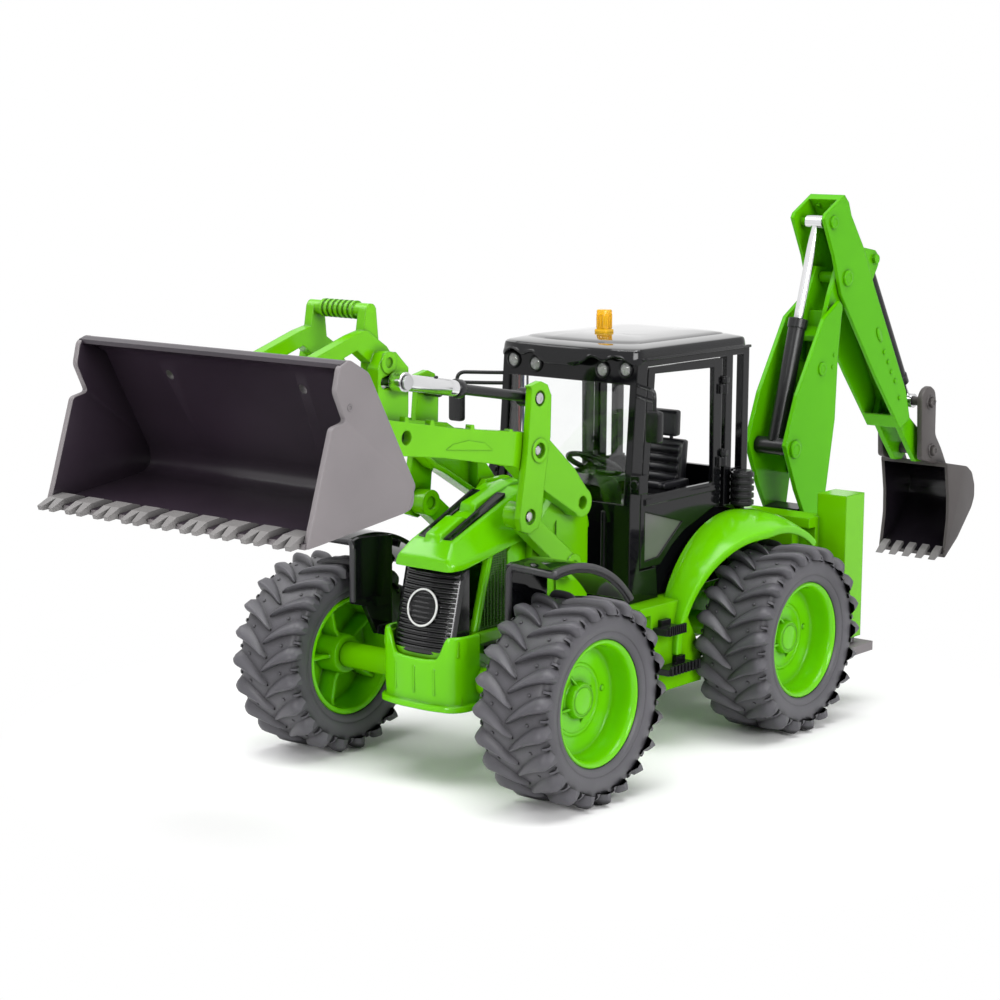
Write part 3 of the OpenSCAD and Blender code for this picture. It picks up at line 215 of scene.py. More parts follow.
perforated("dottedGreen", dotted)
clearPlastic("clearPane", (0.97, 0.985, 0.98), 0.02, 1.0)
clearPlastic("lampLens", (0.97, 0.97, 0.97), 0.04, 0.8)
clearPlastic("amberPlastic", (1.0, 0.57, 0.002), 0.07, 0.4)

slotFinish = {
    "green_plastic": "greenPlastic", "black_plastic": "blackPlastic", "gloss_black": "glossBlack",
    "bucket_grey": "bucketLitGrey", "tyre_rubber": "tyreRubber", "chromed_steel": "chromedSteel",
    "screw_steel": "screwSteel", "amber_plastic": "amberPlastic", "clear_lens": "lampLens", "clear_pane": "clearPane",
    "smoke_pane": "smokePane", "wire_cover": "wireCover",
}
nodeFinish = {
    "bucket_teeth": "toothGrey", "hoe_teeth": "toothGrey", "boom": "hoeGreenShaded", "dipper": "hoeGreenShaded",
    "side_meshes": "dottedGreen", "cab": "glossBlack", "door_left": "glossBlack", "door_right": "glossBlack",
    "front_fender_left": "glossBlack", "front_fender_right": "glossBlack",
}
for part in frame["record"]["subparts"]:
    worn = nodes[part["node"]].data.materials
    worn.clear()
    worn.append(finishes[nodeFinish.get(part["node"], slotFinish[part["material_slot"]])])

# helpers for pieces


def newObject(name, data):
    thing = bpy.data.objects.new(name, data)
    bpy.context.collection.objects.link(thing)
    return thing


def settle(piece, body, stands):
    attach(piece, body)
    if stands:
        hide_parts(*stands)


def wear(mesh, *names):
    for name in names:
        mesh.materials.append(finishes[name])
    return mesh


def makePiece(name, mesh, finish, body, slot, *stands, place=(0, 0, 0)):
    if finish:  # meshes with two finishes come with them
        mesh.materials.clear()
        wear(mesh, finish)
    piece = newObject(name, mesh)
    piece.location = place
    settle(piece, body, stands)


def smooth(mesh, angle):
    mesh.polygons.foreach_set("use_smooth", [True] * len(mesh.polygons))
    mesh.set_sharp_from_angle(angle=radians(angle))
    return mesh


def meshFrom(name, bm, angle=35, placed=True):
    bmesh.ops.recalc_face_normals(bm, faces=bm.faces)
    for v in bm.verts:
        v.co = at(*v.co) if placed else v.co * 0.001
    mesh = bpy.data.meshes.new(name)
    bm.to_mesh(mesh)
    bm.free()
    return smooth(mesh, angle)


def formPiece(name, bm, angle, finish, body, slot, *stands):
    makePiece(name, meshFrom(name, bm, angle), finish, body, slot, *stands)


def turnsOf(count):
    return [2 * pi * i / count for i in range(count)]


def acrossOf(half, count):  # even places from -half to half
    return [-half + 2 * half * k / count for k in range(count + 1)]


def ringGrid(bm, rows, closed=False, around=False, caps=False):  # quads between rows of points
    made = [[bm.verts.new(p) for p in row] for row in rows]
    count = len(rows)
    faces = []
    for i in range(count if closed else count - 1):
        a, b = made[i], made[(i + 1) % count]
        for k in range(len(a) if around else len(a) - 1):
            n = (k + 1) % len(a)
            faces.append(bm.faces.new((a[k], a[n], b[n], b[k])))
    if caps:
        faces += [bm.faces.new(made[0]), bm.faces.new(made[-1])]
    return made, faces


def lathe(bm, centre, axis, profile, turns=32):  # profile of (radius, height) pairs along the axis
    axis = Vector(axis).normalized()
    side = axis.orthogonal().normalized()
    other = axis.cross(side)
    rings = []
    for r, h in profile:
        middle = Vector(centre) + axis * h
        if r < 1e-6:
            rings.append([bm.verts.new(middle)])
        else:
            spots = [middle + (side * cos(t) + other * sin(t)) * r for t in turnsOf(turns)]
            rings.append([bm.verts.new(p) for p in spots])
    for a, b in zip(rings, rings[1:]):
        for i in range(turns):
            j = (i + 1) % turns
            if len(a) == 1 and len(b) == 1:
                break
            if len(a) == 1:
                bm.faces.new((a[0], b[j], b[i]))
            elif len(b) == 1:
                bm.faces.new((a[i], a[j], b[0]))
            else:
                bm.faces.new((a[i], a[j], b[j], b[i]))


def roundCorners(points, radius, steps=5, closed=True):
    made = []
    count = len(points)
    for i, p in enumerate(points):
        p = Vector(p)
        if not closed and i in (0, count - 1):
            made.append(p)
            continue
        before, after = Vector(points[i - 1]), Vector(points[(i + 1) % count])
        reach = min(radius, (p - before).length * 0.48, (after - p).length * 0.48)
        start, end = p + (before - p).normalized() * reach, p + (after - p).normalized() * reach
        for k in range(steps + 1):
            t = k / steps
            made.append(start * (1 - t) ** 2 + p * (2 * t * (1 - t)) + end * t ** 2)
    return made


def insetLoop(loop, depth):  # moves a closed outline inwards
    area = sum(a.x * b.y - b.x * a.y for a, b in zip(loop, loop[1:] + loop[:1]))
    turn = 1 if area > 0 else -1
    made = []
    for i, p in enumerate(loop):
        before, after = loop[i - 1], loop[(i + 1) % len(loop)]
        along = (after - before).normalized()
        made.append(p + Vector((-along.y, along.x)) * depth * turn)
    return made


def softPlate(bm, outline, low, high, edge, view):  # plate with rounded rims, view turns (a, b, depth) into a point
    rims = ((low, edge), (low + edge * 0.3, edge * 0.3), (low + edge, 0),
            (high - edge, 0), (high - edge * 0.3, edge * 0.3), (high, edge))
    rows = []
    for depth, inset in rims:
        loop = insetLoop(outline, inset) if inset else outline
        rows.append([view(p.x, p.y, depth) for p in loop])
    return ringGrid(bm, rows, around=True, caps=True)[1]


def sideView(x, z, y):
    return (x, y, z)


def topView(x, y, z):
    return (x, y, z)


def frontView(y, z, x):
    return (x, y, z)


def sidePlate(bm, outline, s, near, far, edge):  # on the left for s = 1, on the right for s = -1
    return softPlate(bm, outline, *sorted((s * near, s * far)), edge, sideView)


def tubePiece(name, points, radius, finish, slot, *stands):
    data = bpy.data.curves.new(name, "CURVE")
    data.dimensions = "3D"
    data.bevel_depth = radius / 1000
    data.bevel_resolution = 4
    data.use_fill_caps = True
    run = roundCorners(points, 4, 6, closed=False)
    line = data.splines.new("POLY")
    line.points.add(len(run) - 1)
    for spot, p in zip(line.points, run):
        spot.co = (*at(*p), 1)
    settle(newObject(name, wear(data, finish)), "machine", stands)


def cutWith(mesh, cutter):  # takes the cutter's solid out of a mesh
    holder, tool = newObject("cutHolder", mesh), newObject("cutTool", cutter)
    cut = holder.modifiers.new("cut", "BOOLEAN")
    cut.object = tool
    cut.operation = "DIFFERENCE"
    cut.solver = "EXACT"
    done = bpy.data.meshes.new_from_object(holder.evaluated_get(bpy.context.evaluated_depsgraph_get()))
    for thing in (holder, tool):
        bpy.data.objects.remove(thing)
    return smooth(done, 35)


def curveAt(points, t):  # smooth value on a list of (place, value) pairs
    for i in range(len(points) - 1):
        (x0, v0), (x1, v1) = points[i], points[i + 1]
        if t <= x1 or i == len(points) - 2:
            before = points[i - 1] if i else points[i]
            after = points[i + 2] if i + 2 < len(points) else points[i + 1]
            m0 = (v1 - before[1]) / max(x1 - before[0], 1e-9)
            m1 = (after[1] - v0) / max(after[0] - x0, 1e-9)
            h = x1 - x0
            u = min(max((t - x0) / h, 0), 1)
            return ((2 * u ** 3 - 3 * u ** 2 + 1) * v0 + (u ** 3 - 2 * u ** 2 + u) * h * m0
                    + (3 * u ** 2 - 2 * u ** 3) * v1 + (u ** 3 - u ** 2) * h * m1)


# tyres

tyre = {
    "lugs": 21, "lugSteps": 14, "first": -1.4, "half": 19.6, "wheelY": 70.5, "radius": 45.0, "turns": 168,
    "wall": [(27.7, 15.2), (28.6, 16.3), (29.8, 16.75), (31.2, 16.6), (31.6, 16.95), (34.4, 17.1), (37.2, 17.1),
        (39.4, 16.7), (40.8, 15.7), (41.6, 13.6), (41.9, 10.0), (42.1, 6.0), (42.2, 2.0)],
    "lead": [(-1.4, 5.5), (1.5, 3.9), (4.0, 2.3), (9.0, -0.4), (14.0, -2.4), (19.6, -3.7)],
    "thick": [(-1.4, 0.6), (4.0, 0.9), (9.0, 1.2), (14.0, 1.5), (17.0, 1.4), (19.6, 0.5)],
    "back": [(-1.4, 1.2), (4.0, 2.6), (9.0, 3.6), (14.0, 4.2), (17.0, 3.6), (19.6, 1.2)],
    "top": [(-1.4, 43.0), (0.6, 44.2), (3.0, 44.7), (14.0, 44.85), (17.0, 44.4), (19.6, 42.4)],
    "foot": [(-1.4, 41.4), (13.0, 41.0), (16.0, 39.4), (18.0, 38.6), (19.6, 38.6)],
    "bar": ((15.6, 38.6, 41.4), (17.0, 37.6, 40.6), (17.9, 38.2, 39.4)), "barBehind": 3.4, "barR": 40,
    "pip": 0.75, "pipBehind": 1.2, "pipR": 42, "pipY": 9.4,
}


def around(angle, r, y):  # angle counted from the top towards the front
    return (r * sin(angle), y, r * cos(angle))


def lugRows(bm, side, start):  # steep leading face, long slope down behind it
    sections = []
    first, steps = tyre["first"], tyre["lugSteps"]
    for k in range(steps):
        y = first + (tyre["half"] - first) * k / (steps - 1)
        lead, thick, back, top, foot = (curveAt(tyre[key], y) for key in ("lead", "thick", "back", "top", "foot"))
        low = top - 2.0
        shape = [(-thick - back, foot), (-thick - back * 0.55, low + 0.55), (-thick, top - 0.5), (0, top),
                 (thick * 0.6, top - 0.15), (thick, top - 0.75), (thick + 0.35, low), (thick + 0.6, foot)]
        sections.append([around(start + (lead + dx) / r, r, side * y) for dx, r in shape])
    ringGrid(bm, sections, caps=True)


def shoulderBar(bm, side, mid):  # small bar on the shoulder between two lugs
    rows = []
    for y, foot, top in tyre["bar"]:
        shape = ((-1.2, foot), (-0.7, top), (0.4, top), (1.2, foot))
        rows.append([around(mid + dx / tyre["barR"], r, side * y) for dx, r in shape])
    made, _ = ringGrid(bm, rows)
    bm.faces.new(made[-1])


def mouldingPip(bm, side, spot):  # small pip between the lugs
    r = tyre["pip"]
    profile = [(r, -0.6), (r * 0.85, 0.3), (r * 0.4, 0.5), (0, 0.52)]
    lathe(bm, around(spot, tyre["pipR"], side * tyre["pipY"]), around(spot, 1, 0), profile, 10)


def tyreMesh():
    bm = bmesh.new()
    wall = tyre["wall"]
    section = [(r, -y) for r, y in wall] + [(r, y) for r, y in reversed(wall)]
    ringGrid(bm, [[around(t, r, y) for r, y in section] for t in turnsOf(tyre["turns"])], closed=True)
    pitch = 2 * pi / tyre["lugs"]
    for i in range(tyre["lugs"]):
        for side, shift in ((1, 0.0), (-1, 0.5)):
            start = (i + shift) * pitch
            middle = start + pitch * 0.5
            lugRows(bm, side, start)
            shoulderBar(bm, side, middle - tyre["barBehind"] / tyre["barR"])
            mouldingPip(bm, side, middle - tyre["pipBehind"] / tyre["pipR"])
    return meshFrom("tyreForm", bm, 40, placed=False)


def wheelPiece(kind, form, axle, side, finish, slot):
    (x, end), (s, hand) = axle, side
    makePiece(f"{kind}-{end}-{hand}", form, finish, f"{end}_{hand}_wheel", slot, f"{kind}_{end}_{hand}",
              place=at(x, s * tyre["wheelY"], tyre["radius"]))


tyreForm = tyreMesh()
for axle in axles:
    for side in hands:
        wheelPiece("tyre", tyreForm, axle, side, "tyreRubber", "tyre_rubber")
print("tyres made")

# rims

rim = {
    "turns": 72,
    "front": [(27.7, 14.2), (27.5, 15.1), (27.0, 15.35), (26.2, 15.3), (25.4, 14.6), (24.9, 13.6), (24.6, 12.4),
        (24.45, 8.0), (24.3, 4.6), (23.6, 3.3), (22.4, 2.85), (16.0, 2.75), (15.6, 3.15), (14.6, 3.15), (14.2, 2.75),
        (8.4, 2.7), (7.9, 3.1), (7.7, 5.9), (7.3, 6.5), (6.9, 6.6), (6.7, 6.2), (5.9, 6.2), (5.7, 6.6), (5.2, 6.75),
        (0, 6.8)],
    "rear": [(27.7, 14.2), (27.7, -14.4), (27.2, -15.2), (25.6, -15.2), (25.0, -14.6), (24.6, -8.0), (24.2, 0.2),
        (23.4, 0.6), (10.2, 0.6), (9.2, 0.2), (9.0, -11.0), (8.6, -12.0), (4.6, -12.0), (4.4, -11.0), (4.4, -6.0)],
    "gussets": (20, 110, 200, 290), "gusset": [(7.2, 2.4), (11.4, 2.4), (11.0, 2.9), (7.9, 5.2), (7.2, 5.2)],
    "stud": (17.6, 2.75, 4.4), "studForm": [(1.3, -0.4), (1.3, 0.5), (1.0, 0.8), (0, 0.85)],
    "ribs": (0, 72, 144, 216, 288),
    "rib": [(8.6, 0.8), (24.6, 0.8), (24.7, -10.6), (22.0, -9.0), (12.0, -8.0), (8.6, -9.6)],
}


def rimRib(bm, s, turn, outline, corner, half, edge):
    softPlate(bm, roundCorners(outline, corner, 3), -half, half, edge, lambda a, b, d: turn @ Vector((a, s * b, d)))


def rimMesh(s):
    bm = bmesh.new()
    for key in ("front", "rear"):
        lathe(bm, (0, 0, 0), (0, s, 0), rim[key], rim["turns"])
    bmesh.ops.remove_doubles(bm, verts=bm.verts, dist=0.001)
    for i, angle in enumerate(rim["gussets"]):  # triangular gussets around the hub boss, a stud beside every other one
        turn = Matrix.Rotation(radians(angle) * s, 4, "Y")
        rimRib(bm, s, turn, rim["gusset"], 0.5, 0.6, 0.2)
        if i % 2 == 0:
            x, y, z = rim["stud"]
            lathe(bm, turn @ Vector((x, s * y, z)), (0, s, 0), rim["studForm"], 12)
    for angle in rim["ribs"]:  # stiffening ribs behind the disc
        rimRib(bm, s, Matrix.Rotation(radians(angle) * s, 4, "Y"), rim["rib"], 1.2, 0.9, 0.3)
    return meshFrom("rimForm", bm, 30, placed=False)


for side in hands:
    rimForm = rimMesh(side[0])
    for axle in axles:
        wheelPiece("rim", rimForm, axle, side, "shellGreenLit", "green_plastic")
print("rims made")

# loader bucket

loaderBucket = {
    "half": 73.0, "plate": 2.6, "bend": 13.0, "lipAt": 19, "holes": (-37, 37), "holeX": 105, "holeZ": 186.0,
    "holeR": 1.9, "holeLong": 45,
    "side": [(140.3, 200.9), (145.8, 198.5), (148, 189.3), (142.5, 177.9), (150.1, 176.2), (160.6, 142.8),
        (164.1, 132.4), (156.6, 133.2), (108.2, 139.4), (103, 149.2), (129.8, 195.3)],
    "inner": [(144.4, 197.6), (140.0, 197.6), (131.8, 193.0), (104.2, 142.3), (164.5, 134.7)],
    "outer": [(164.1, 132.4), (103.4, 140.0), (103.0, 149.2), (129.8, 195.3), (140.3, 200.9), (144.8, 199.4)],
    "eye": (140.6, 183.0), "eyeForm": [(1.3, -0.2), (1.3, 0.25), (0.8, 0.25), (0.7, -0.1), (0, -0.1)],
}


def bucketRun(bm, loop, half, steps, isShaded):  # bent sheet across the bucket, isShaded tells the inner points of the loop, whose faces take the finish painted with shade
    rows = [[(p.x, y, p.y) for p in loop] for y in acrossOf(half, steps)]
    _, faces = ringGrid(bm, rows, around=True, caps=True)
    for i, f in enumerate(faces[:-2]):
        f.material_index = int(isShaded(i % len(loop)))


def bucketSide(bm, spec, outline, s, edge):
    faces = sidePlate(bm, outline, s, spec["half"] - spec["plate"], spec["half"], edge)
    faces[-2 if s > 0 else -1].material_index = 1  # inner face takes the finish painted with shade


def bucketShell():
    spec = loaderBucket
    run = roundCorners(spec["inner"][:3], 2.2, 4, closed=False)
    run += roundCorners(spec["inner"][2:], spec["bend"], 14, closed=False)[1:]
    loop = run + roundCorners(spec["outer"], 7.0, 8, closed=False)
    bm = bmesh.new()
    lipAt = len(run) + spec["lipAt"]  # the inside and the top lip take the finish painted with shade
    bucketRun(bm, loop, spec["half"] - 1, 24, lambda k: k < len(run) - 1 or k >= lipAt)
    mesh = wear(meshFrom("bucketShell", bm, 30), "bucketLitGrey", "bucketShadedInside")
    tool = bmesh.new()
    r, end = spec["holeR"], spec["holeLong"]
    for y in spec["holes"]:
        lathe(tool, (spec["holeX"], y, spec["holeZ"]), (1, 0, 0), [(0, 0), (r, 0), (r, end), (0, end)], 20)
    return cutWith(mesh, meshFrom("bucketHoles", tool))


def bucketSides():
    spec = loaderBucket
    x, z = spec["eye"]
    bm = bmesh.new()
    for s in (1, -1):
        bucketSide(bm, spec, roundCorners(spec["side"], 1.6, 4), s, 0.45)
        lathe(bm, (x, s * spec["half"], z), (0, s, 0), spec["eyeForm"], 14)
    return wear(meshFrom("bucketSides", bm, 30), "bucketLitGrey", "bucketShadedInside")


makePiece("bucket-shell", bucketShell(), None, "bucket", "bucket_grey", "loader_bucket")
makePiece("bucket-sides", bucketSides(), None, "bucket", "bucket_grey")
print("loader bucket made")

# backhoe bucket

hoeBucket = {
    "half": 21.5, "plate": 2.0, "earIn": 10.9, "earOut": 14.3, "eye": (-403.8, 130.0), "eyeR": 2.5,
    "pivot": (-407.5, 102.2), "pivotR": 3.0, "boss": [(4.0, -0.4), (4.0, 0.4), (3.7, 0.7), (0, 0.7)],
    "outer": [(-413, 95), (-437, 90.6), (-443, 86.6), (-446.6, 79), (-446.9, 71.8), (-444, 66), (-428.4, 50.2),
        (-414.4, 40.4)],
    "inner": [(-412.6, 92.6), (-436.4, 88), (-441, 84.8), (-444.2, 78.4), (-444.4, 72.4), (-442, 67.4), (-426.8, 52),
        (-413, 42.6)],
    "mouth": [(-413.6, 41), (-417, 62), (-416.6, 75)],
    "ear": [(-413, 93.6), (-396.8, 98), (-394.6, 133), (-398, 137.6), (-404, 139.4), (-409.6, 136), (-411, 130),
        (-411.4, 111), (-419, 102), (-426, 91.6), (-420, 91)],
}


def makeHoeBucket():
    spec = hoeBucket
    bm = bmesh.new()
    outer = roundCorners(spec["outer"], 4, 5, closed=False)
    loop = outer + roundCorners(spec["inner"], 4, 5, closed=False)[::-1]
    bucketRun(bm, loop, spec["half"] - 0.6, 10, lambda k: len(outer) <= k < len(loop) - 1)
    for s in (1, -1):
        bucketSide(bm, spec, roundCorners(spec["outer"] + spec["mouth"], 1.5, 3), s, 0.4)
        sidePlate(bm, roundCorners(spec["ear"], 2.2, 4), s, spec["earIn"], spec["earOut"], 0.5)
        for x, z in (spec["eye"], spec["pivot"]):
            lathe(bm, (x, s * spec["earOut"], z), (0, s, 0), spec["boss"], 28)
    end = 2 * spec["earIn"] + 2
    for (x, z), r in ((spec["eye"], spec["eyeR"]), (spec["pivot"], spec["pivotR"])):
        lathe(bm, (x, -spec["earIn"] - 1, z), (0, 1, 0), [(0, 0), (r, 0), (r, end), (0, end)], 28)
    mesh = wear(meshFrom("hoeBucketForm", bm, 30), "hoeShadedGrey", "hoeShadedInside")
    makePiece("hoe-bucket-form", mesh, None, "hoe", "bucket_grey", "hoe_bucket")


makeHoeBucket()
print("backhoe bucket made")

# loader rams

tiltRam = {
    "eye": (59.9, 182.2), "back": (-23.5, 168.4), "y": 26.6, "tube": 3.5, "length": 39.0, "portAt": 0.27,
    "eyeForm": [(2.3, -3.0), (3.9, -3.0), (4.2, -2.6), (4.2, 3.0), (3.9, 3.4), (2.3, 3.4)],
    "port": [(0.9, -0.6), (0.9, 0.7), (0.6, 1.0), (0, 1.05)],
}


def makeTiltRams():
    bright, dark = bmesh.new(), bmesh.new()
    (ex, ez), (bx, bz) = tiltRam["eye"], tiltRam["back"]
    along = (bx - ex, 0, bz - ez)
    r, end, share = tiltRam["tube"], tiltRam["length"], tiltRam["portAt"]
    barrel = [(0, 2.6), (r - 0.5, 2.7), (r, 3.2), (r, 29.6), (r - 0.2, 30.0), (r - 0.2, 30.6), (r, 31.0),
              (r, end - 3.8), (r - 0.6, end - 3.6)]
    collar = [(r - 0.4, end - 4.2), (r + 0.5, end - 4.0), (r + 0.6, end - 3.6), (r + 0.6, end - 0.6), (r + 0.3, end),
              (2.6, end), (2.45, end - 0.6)]
    for s in (1, -1):
        y = s * tiltRam["y"]
        lathe(bright, (ex, y, ez), along, barrel, 36)
        lathe(bright, (ex, y, ez), (0, s, 0), tiltRam["eyeForm"], 32)
        lathe(dark, (ex, y, ez), along, collar, 36)
        lathe(dark, (ex + along[0] * share, y, ez + along[2] * share + r - 0.2), (0, 0, 1), tiltRam["port"], 14)
    formPiece("tilt-tubes", bright, 32, "chromedSteel", "tilt_rams", "chromed_steel", "tilt_barrels")
    formPiece("tilt-collars", dark, 32, "blackPlastic", "tilt_rams", "black_plastic")


makeTiltRams()
print("loader rams made")

# bonnet

bonnet = {
    "bottom": [(-77, 103), (-26, 103), (-10, 99.2), (7.4, 94.9), (15.4, 94.6)],
    "half": [(-77, 21), (-26, 21), (-8, 19.6), (7.4, 17.8), (12, 17.2), (14, 16.6), (15, 15.8), (15.4, 14.8)],
    "top": [(-77, 125), (-38, 125), (-34, 123.4), (-26, 120.3), (8.5, 106.4), (14.5, 100.4), (15.0, 99.7),
        (15.25, 99.2), (15.4, 98.5)],
    "ridge": [(-77, 12), (-26, 11), (8.5, 11.6), (14.5, 14.2), (15.4, 13.4)],
    "stations": [-77, -70, -60, -50, -42, -38, -35, -32, -29, -26, -20, -14, -8, -2, 3, 6, 7.4, 8.1, 8.5, 8.9, 10,
        11.5, 13, 14, 14.5, 14.75, 15.0, 15.25, 15.4],
    "low": [(10, 103.8), (8, 109), (-6, 115.2), (-10, 113.8), (-6, 108)],
    "high": [(-13, 112), (-15.6, 119.7), (-41.3, 126.7), (-66, 127.4), (-70, 124), (-20, 110)], "midHalf": 4.6,
    "wall": [(-20.5, 66.5), (-20.5, 99), (-27, 106), (-77, 106), (-77, 66.5)], "wallIn": 17.4, "wallOut": 18.8,
    "post": [(1.9, 66.5), (-7.7, 100), (-11, 100), (-1.4, 66.5)], "postIn": 15.4,
    "inlay": [(7.6, 5.0), (7.0, 9.6), (-30, 9.9), (-30, 4.7)], "slope": 0.402, "ridgeAt": 109.8,
    "inlayRows": ((-0.8, 0), (0.25, 0), (0.5, 0.3), (0.5, 0.7), (0.15, 1.0)), "rearFrom": 23, "rearLift": 1.2,
}


def bonnetLine(points, x):  # straight between the listed stations
    for (x0, v0), (x1, v1) in zip(points, points[1:]):
        if x <= x1:
            return v0 + (v1 - v0) * (x - x0) / (x1 - x0)
    return points[-1][1]


def bonnetSection(x):  # half section from the lower edge to the middle
    bottom, half, top, ridge = (bonnetLine(bonnet[key], x) for key in ("bottom", "half", "top", "ridge"))
    tall = top - bottom
    corners = [(half - 1.6, bottom), (half, bottom), (half - 0.3, bottom + min(3.4, tall * 0.4)), (ridge, top - 0.3),
               (0, top + 0.3)]
    return roundCorners(corners, min(1.5, tall * 0.3), 5, closed=False)


def makeBonnet():
    bm = bmesh.new()
    rows = []
    for x in bonnet["stations"]:
        half = bonnetSection(x)
        rows.append([(x, p.x, p.y) for p in half] + [(x, -p.x, p.y) for p in reversed(half[:-1])])
    ringGrid(bm, rows, caps=True)
    for key in ("low", "high"):  # raised middle forms
        softPlate(bm, roundCorners(bonnet[key], 1.2, 4), -bonnet["midHalf"], bonnet["midHalf"], 0.9, sideView)
    wall, post = ([Vector(p) for p in bonnet[key]] for key in ("wall", "post"))
    for s in (1, -1):  # walls and slanted pillars under the bonnet
        sidePlate(bm, wall, s, bonnet["wallIn"], bonnet["wallOut"], 0.2)
        sidePlate(bm, post, s, bonnet["postIn"], bonnet["wallOut"], 0.5)
    formPiece("bonnet-shell", bm, 28, "shellGreenLit", "machine", "green_plastic", "hood")


def makeBonnetInlays():
    bm = bmesh.new()
    outline = roundCorners(bonnet["inlay"], 0.8, 4)
    for s in (1, -1):
        rows = []
        for lift, inset in bonnet["inlayRows"]:
            row = []
            for p in (insetLoop(outline, inset) if inset else outline):
                rear = min(max((-p.x - bonnet["rearFrom"]) / 2, 0), 1) * bonnet["rearLift"]
                row.append((p.x, s * p.y, bonnet["ridgeAt"] - bonnet["slope"] * p.x + lift + rear))
            rows.append(row)
        made, _ = ringGrid(bm, rows, around=True)
        bm.faces.new(made[-1])
    formPiece("bonnet-inlays", bm, 30, "glossBlack", "machine", "gloss_black", "hood_strips")


makeBonnet()
makeBonnetInlays()
print("bonnet made")

# bumper

bumper = {
    "plan": [(3, -22.5), (13.6, -22.5), (18.4, -19.4), (21.0, -9), (21.0, 9), (18.4, 19.4), (13.6, 22.5), (3, 22.5)],
    "edge": [(0, 55.8), (9.0, 56.2), (12.6, 57.6), (16.2, 65.4), (17.4, 66.6), (23, 66.6)], "step": 0.8,
    "rows": [(2.4, 33.6), (-0.6, 33.4), (-1.5, 33.8), (-1.5, 35.8), (-1.2, 36.3), (0.3, 36.6), (0.5, 38), (0.0, 44),
        (-0.1, 50), (0.0, 54)],
    "rim": ((0.0, 0.9), (0.25, 0.25), (0.8, 0.0), (1.6, 0.0), (2.2, 0.3), (2.4, 2.4)),
    "marks": ((-11, 20.3), (0, 21.0), (11, 20.3)), "mark": [(-0.8, 40), (0.3, 40.6), (0.45, 52), (-0.8, 53)],
    "markHalf": 0.45,
}


def openInset(run, depth):
    made = []
    for i, p in enumerate(run):
        along = (run[min(i + 1, len(run) - 1)] - run[max(i - 1, 0)]).normalized()
        made.append(p + Vector((-along.y, along.x)) * depth)
    return made


def makeBumper():
    run = roundCorners(bumper["plan"], 4.2, 8, closed=False)
    dense = []
    for a, b in zip(run, run[1:]):
        steps = max(1, round((b - a).length / bumper["step"]))
        dense += [a.lerp(b, k / steps) for k in range(steps)]
    dense.append(run[-1])
    bm = bmesh.new()
    rows = [[(p.x, p.y, z) for p in openInset(dense, inset)] for inset, z in bumper["rows"]]
    for inset, drop in bumper["rim"]:
        rows.append([(p.x, p.y, curveAt(bumper["edge"], abs(p.y)) - drop) for p in openInset(dense, inset)])
    ringGrid(bm, rows)
    half = bumper["markHalf"]
    for y, front in bumper["marks"]:  # thin upright ribs on the front
        rib = roundCorners([(front + dx, z) for dx, z in bumper["mark"]], 0.5, 3)
        softPlate(bm, rib, y - half, y + half, 0.2, sideView)
    formPiece("bumper-skin", bm, 34, "shellGreenLit", "machine", "green_plastic")


makeBumper()
print("bumper made")

# rear fenders

rearFender = {
    "x": -162.0, "z": 45.0, "in": 41.0, "from": -2.0, "to": 128.0, "steps": 66, "edgeR": 55, "thick": 1.8,
    "profile": [(41, 57.4), (44, 58.2), (47, 58.5), (52, 58.2), (56, 57.6), (60, 56.6), (64, 55.3), (67, 54.1),
        (70, 52.7)],
    "edge": [(-230, 70.3), (-156, 70.3), (-148, 68.6), (-140, 65.8), (-125, 60.6), (-110, 54.4), (-104, 50.2),
        (-96, 46.6), (-90, 44)],
    "lip": ((0.35, 0.5), (0.5, 1.2), (0.45, 3.4), (0.1, 3.8), (-0.9, 3.8), (-1.2, 3.2)),
    "wallFrom": 27, "wallTurn": 101, "wallSteps": 40, "wall": ((41, 48), (41, 57.4), (42.6, 57.4), (42.6, 48)),
}


def fenderPoint(angle, r, y):
    t = radians(angle)
    return (rearFender["x"] + r * cos(t), y, rearFender["z"] + r * sin(t))


def fenderSkin(angle, y, drop):
    return fenderPoint(angle, curveAt(rearFender["profile"], y) - drop, y)


def makeRearFenders():
    spec = rearFender
    low = spec["in"]
    for s, hand in hands:
        bm = bmesh.new()
        rows = []
        for k in range(spec["steps"] + 1):
            angle = spec["from"] + (spec["to"] - spec["from"]) * k / spec["steps"]
            x = spec["x"] + spec["edgeR"] * cos(radians(angle))
            wide = max(curveAt(spec["edge"], x), low + 3.5)
            across = [low + (wide - low) * n / 14 for n in range(15)]
            row = [fenderSkin(angle, y, 0.0) for y in across]
            row += [fenderSkin(angle, wide + dy, drop) for dy, drop in spec["lip"]]
            row += [fenderSkin(angle, y, spec["thick"]) for y in reversed(across[:-1])]
            rows.append([(x0, s * y0, z0) for x0, y0, z0 in row])
        ringGrid(bm, rows, around=True, caps=True)
        wall = []  # inner wall behind the wheel
        for k in range(spec["wallSteps"] + 1):
            angle = spec["wallFrom"] + spec["wallTurn"] * k / spec["wallSteps"]
            wall.append([fenderPoint(angle, r, s * y) for y, r in spec["wall"]])
        ringGrid(bm, wall, around=True)
        formPiece(f"rear-fender-{hand}", bm, 34, "shellGreenLit", "machine", "green_plastic", f"rear_fender_{hand}")


makeRearFenders()
print("rear fenders made")

# grille

grille = {
    "low": 57.5, "high": 94.6, "lean": 9.2, "x": 19.0, "half": 17.4, "rear": 4.1, "bow": 3.4, "soft": 0.5,
    "corner": 0.6, "louvres": 16, "margin": 1.7, "border": 2.2, "badgeR": 8.6, "badgeZ": 77.0,
}


